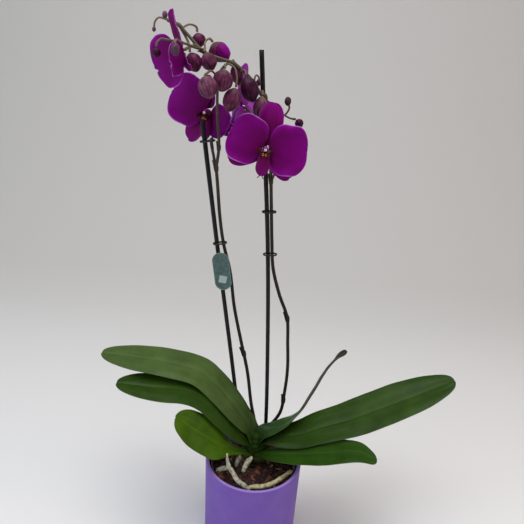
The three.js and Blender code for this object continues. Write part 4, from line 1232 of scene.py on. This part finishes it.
def bud_finish(name, flesh, light, vein, foot):
    """Bud skin: waxy mauve with dark ribs down it, close together, greenish grey at the foot."""
    material, tree, shader = finish_of(name, 0.42, {
        "Specular IOR Level": 0.12, "Coat Weight": 0.02, "Coat Roughness": 0.35})
    place = node(tree, "ShaderNodeTexCoord").outputs["Object"]
    uv = node(tree, "ShaderNodeUVMap", uv_map="UVMap").outputs["UV"]
    along = node(tree, "ShaderNodeSeparateXYZ", {"Vector": uv}).outputs["Y"]
    cloud = node(tree, "ShaderNodeTexNoise", {"Vector": place, "Scale": 160.0, "Detail": 4.0})
    skin = node(tree, "ShaderNodeValToRGB", {"Fac": cloud.outputs["Fac"]},
                stops=[(0.38, flesh), (0.66, light)])
    stretch = node(tree, "ShaderNodeMapping", {"Vector": uv, "Scale": (52.0, 2.0, 1.0)})
    ribs = node(tree, "ShaderNodeTexNoise", {
        "Vector": stretch.outputs["Vector"], "Scale": 1.0, "Detail": 2.0})
    streak = node(tree, "ShaderNodeMapRange", {
        "Value": ribs.outputs["Fac"], "From Min": 0.44, "From Max": 0.6, "To Max": 0.85})
    ribbed = node(tree, "ShaderNodeMixRGB", {
        "Fac": streak.outputs["Result"], "Color1": skin.outputs["Color"], "Color2": linear(vein)})
    low = node(tree, "ShaderNodeMapRange", {"Value": along, "From Min": 0.38, "From Max": 0.05, "To Max": 0.75},
               interpolation_type="SMOOTHSTEP")
    footed = node(tree, "ShaderNodeMixRGB", {
        "Fac": low.outputs["Result"], "Color1": ribbed.outputs["Color"], "Color2": linear(foot)})
    tree.links.new(footed.outputs["Color"], shader["Base Color"])
    bump = node(tree, "ShaderNodeBump", {
        "Height": ribs.outputs["Fac"], "Strength": 0.4, "Distance": 0.5 * MM})
    tree.links.new(bump.outputs["Normal"], shader["Normal"])
    return material


BUD_FINISHES = {
    "wine": bud_finish("waxy_bud_wine", 0x5A1A42, 0x742C5A, 0x280618, 0x584240),
    "mauve": bud_finish("waxy_bud_mauve", 0x5A2044, 0x783C5A, 0x28061A, 0x5E5040),
    "grey": bud_finish("waxy_bud_greyed", 0x602A4A, 0x804C66, 0x2E0A22, 0x6C6250),
    "dark": bud_finish("waxy_bud_dark", 0x360628, 0x4C103C, 0x1A0210, 0x38222A),
}


BUD_FULLNESS = 0.525
BLUNT_END = 0.7 * MM


def egg(foot, tip, width, turn):
    """A bud's body: a ball drawn out from foot to tip, with three sunk seams and three low keels."""
    pick_only()
    bpy.ops.mesh.primitive_uv_sphere_add(segments=48, ring_count=28, radius=1)
    body = bpy.context.object
    axis = (Vector(tip) - Vector(foot)) * MM
    pose = Vector((0, 0, 1)).rotation_difference(axis).to_matrix()
    for vertex in body.data.vertices:
        x, y, z = vertex.co
        along = 0.5 * (z + 1)
        angle = math.atan2(y, x) + turn + 0.25 * along
        seam = abs((angle * 3 / math.tau) % 1 - 0.5) * math.tau / 3
        middle = math.sin(math.pi * along)
        sunk = 0.08 * middle * math.exp(-((seam / 0.1) ** 2))
        radius = BUD_FULLNESS * width * (1 - sunk - 0.03 * math.cos(3 * angle))
        radius *= 1 - 0.3 * max(0.0, along - 0.75) / 0.25 - 0.25 * max(0.0, 0.2 - along) / 0.2
        reach = BLUNT_END + along * (axis.length - BLUNT_END)
        vertex.co = Vector(foot) * MM + pose @ Vector((radius * MM * x, radius * MM * y, reach))
    bpy.ops.object.shade_smooth()
    return body


for seed, (name, bud) in enumerate(BUDS.items()):
    piece = egg(bud["foot"], bud["tip"], bud["width"], turn=1.3 * seed)
    if name == "bud_half_open":
        piece.data.materials.append(BUD_FINISHES[bud["finish"]])
        showing = egg([-66.5, 2.0, 648], [-55.5, 1.5, 631], 16, turn=0.4)
        showing.data.materials.append(PETAL_FINISHES["petal"])
        piece = welded(piece, showing)
        hand_over(piece, name + "_egg", "bud", None, name)
    else:
        hand_over(piece, name + "_egg", "bud", BUD_FINISHES[bud["finish"]], name)

# ---------------------------------------------------------------------------------------------------------
# Stage: a pale floor that sweeps up into a wall behind, soft daylight from above and the sides, and a camera
# held above the plant's middle, looking down at it and tipped a little.
SWEEP_WIDTH = 7
SWEEP_DEPTH = 3.5
SWEEP_START = 0.7
SWEEP_RADIUS = 0.9
SWEEP_TOP = 3.0
pick_only()
bpy.ops.mesh.primitive_plane_add(size=1, location=(0, SWEEP_START - SWEEP_DEPTH / 2, 0))
floor = bpy.context.object
floor.scale = (SWEEP_WIDTH, SWEEP_DEPTH, 1)
settle(floor)
bpy.ops.object.mode_set(mode="EDIT")
pick_edges(floor, lambda a, b: min(a.y, b.y) > SWEEP_START - 0.001)
bpy.ops.mesh.spin(steps=24, angle=-math.pi / 2, center=(0, SWEEP_START, SWEEP_RADIUS), axis=(1, 0, 0))
bpy.ops.mesh.extrude_region_move(TRANSFORM_OT_translate={"value": (0, 0, SWEEP_TOP)})
bpy.ops.object.mode_set(mode="OBJECT")
bpy.ops.object.shade_smooth()
floor.name = "floor_sweep"
paper, tree, shader = finish_of("pale_matt_sweep", 0.9, {"Specular IOR Level": 0.2})
depth = node(tree, "ShaderNodeSeparateXYZ", {"Vector": node(tree, "ShaderNodeTexCoord").outputs["Object"]})
# Painted light: the sweep is painted lighter on the floor in front and greyer towards and up the wall behind,
# as daylight falling more on the table than on the wall
shade = node(tree, "ShaderNodeValToRGB", {"Fac": depth.outputs["Y"]},
             stops=[(0.0, 0xEDEDEE), (0.9, 0xD2D1CF)])
tree.links.new(shade.outputs["Color"], shader["Base Color"])
floor.data.materials.append(paper)

scene = bpy.context.scene
scene.view_settings.view_transform = "Standard"
world = bpy.data.worlds.new("studio")
world.use_nodes = True
world.node_tree.nodes["Background"].inputs["Color"].default_value = linear(0xEEEEEE)
world.node_tree.nodes["Background"].inputs["Strength"].default_value = 0.34
scene.world = world


def soft_light(name, at, aim, size, power, colour):
    """A square soft light at a place, turned towards another."""
    light = bpy.data.lights.new(name, "AREA")
    light.shape = "SQUARE"
    light.size = size
    light.energy = power
    light.color = linear(colour)[:3]
    lamp = bpy.data.objects.new(name, light)
    lamp.location = at
    lamp.rotation_euler = (Vector(aim) - Vector(at)).to_track_quat("-Z", "Y").to_euler()
    bpy.context.collection.objects.link(lamp)


soft_light("overhead", (-0.1, -0.3, 1.9), (0, 0, 0.3), 1.3, 22, 0xFFFFFF)
soft_light("window_right", (1.7, -0.6, 1.1), (0, 0, 0.35), 1.1, 9, 0xFFEADC)
soft_light("window_left", (-1.7, -0.9, 1.0), (0, 0, 0.35), 1.2, 11, 0xE6F0FF)

EYE = Vector((-0.006, -0.575, 0.635))
PITCH = math.radians(21)
TIP = math.radians(3.8)
SENSOR_WIDTH = 36
FOCAL_SHARE = 525 / 524
ahead = Vector((0, math.cos(PITCH), -math.sin(PITCH)))
right = Vector((1, 0, 0))
up = right.cross(ahead)
camera = bpy.data.objects.new("camera", bpy.data.cameras.new("camera"))
camera.data.sensor_width = SENSOR_WIDTH
camera.data.lens = SENSOR_WIDTH * FOCAL_SHARE
across = right * math.cos(TIP) + up * math.sin(TIP)
upright = up * math.cos(TIP) - right * math.sin(TIP)
camera.matrix_world = Matrix.Translation(EYE) @ Matrix((across, upright, -ahead)).transposed().to_4x4()
bpy.context.collection.objects.link(camera)
scene.camera = camera
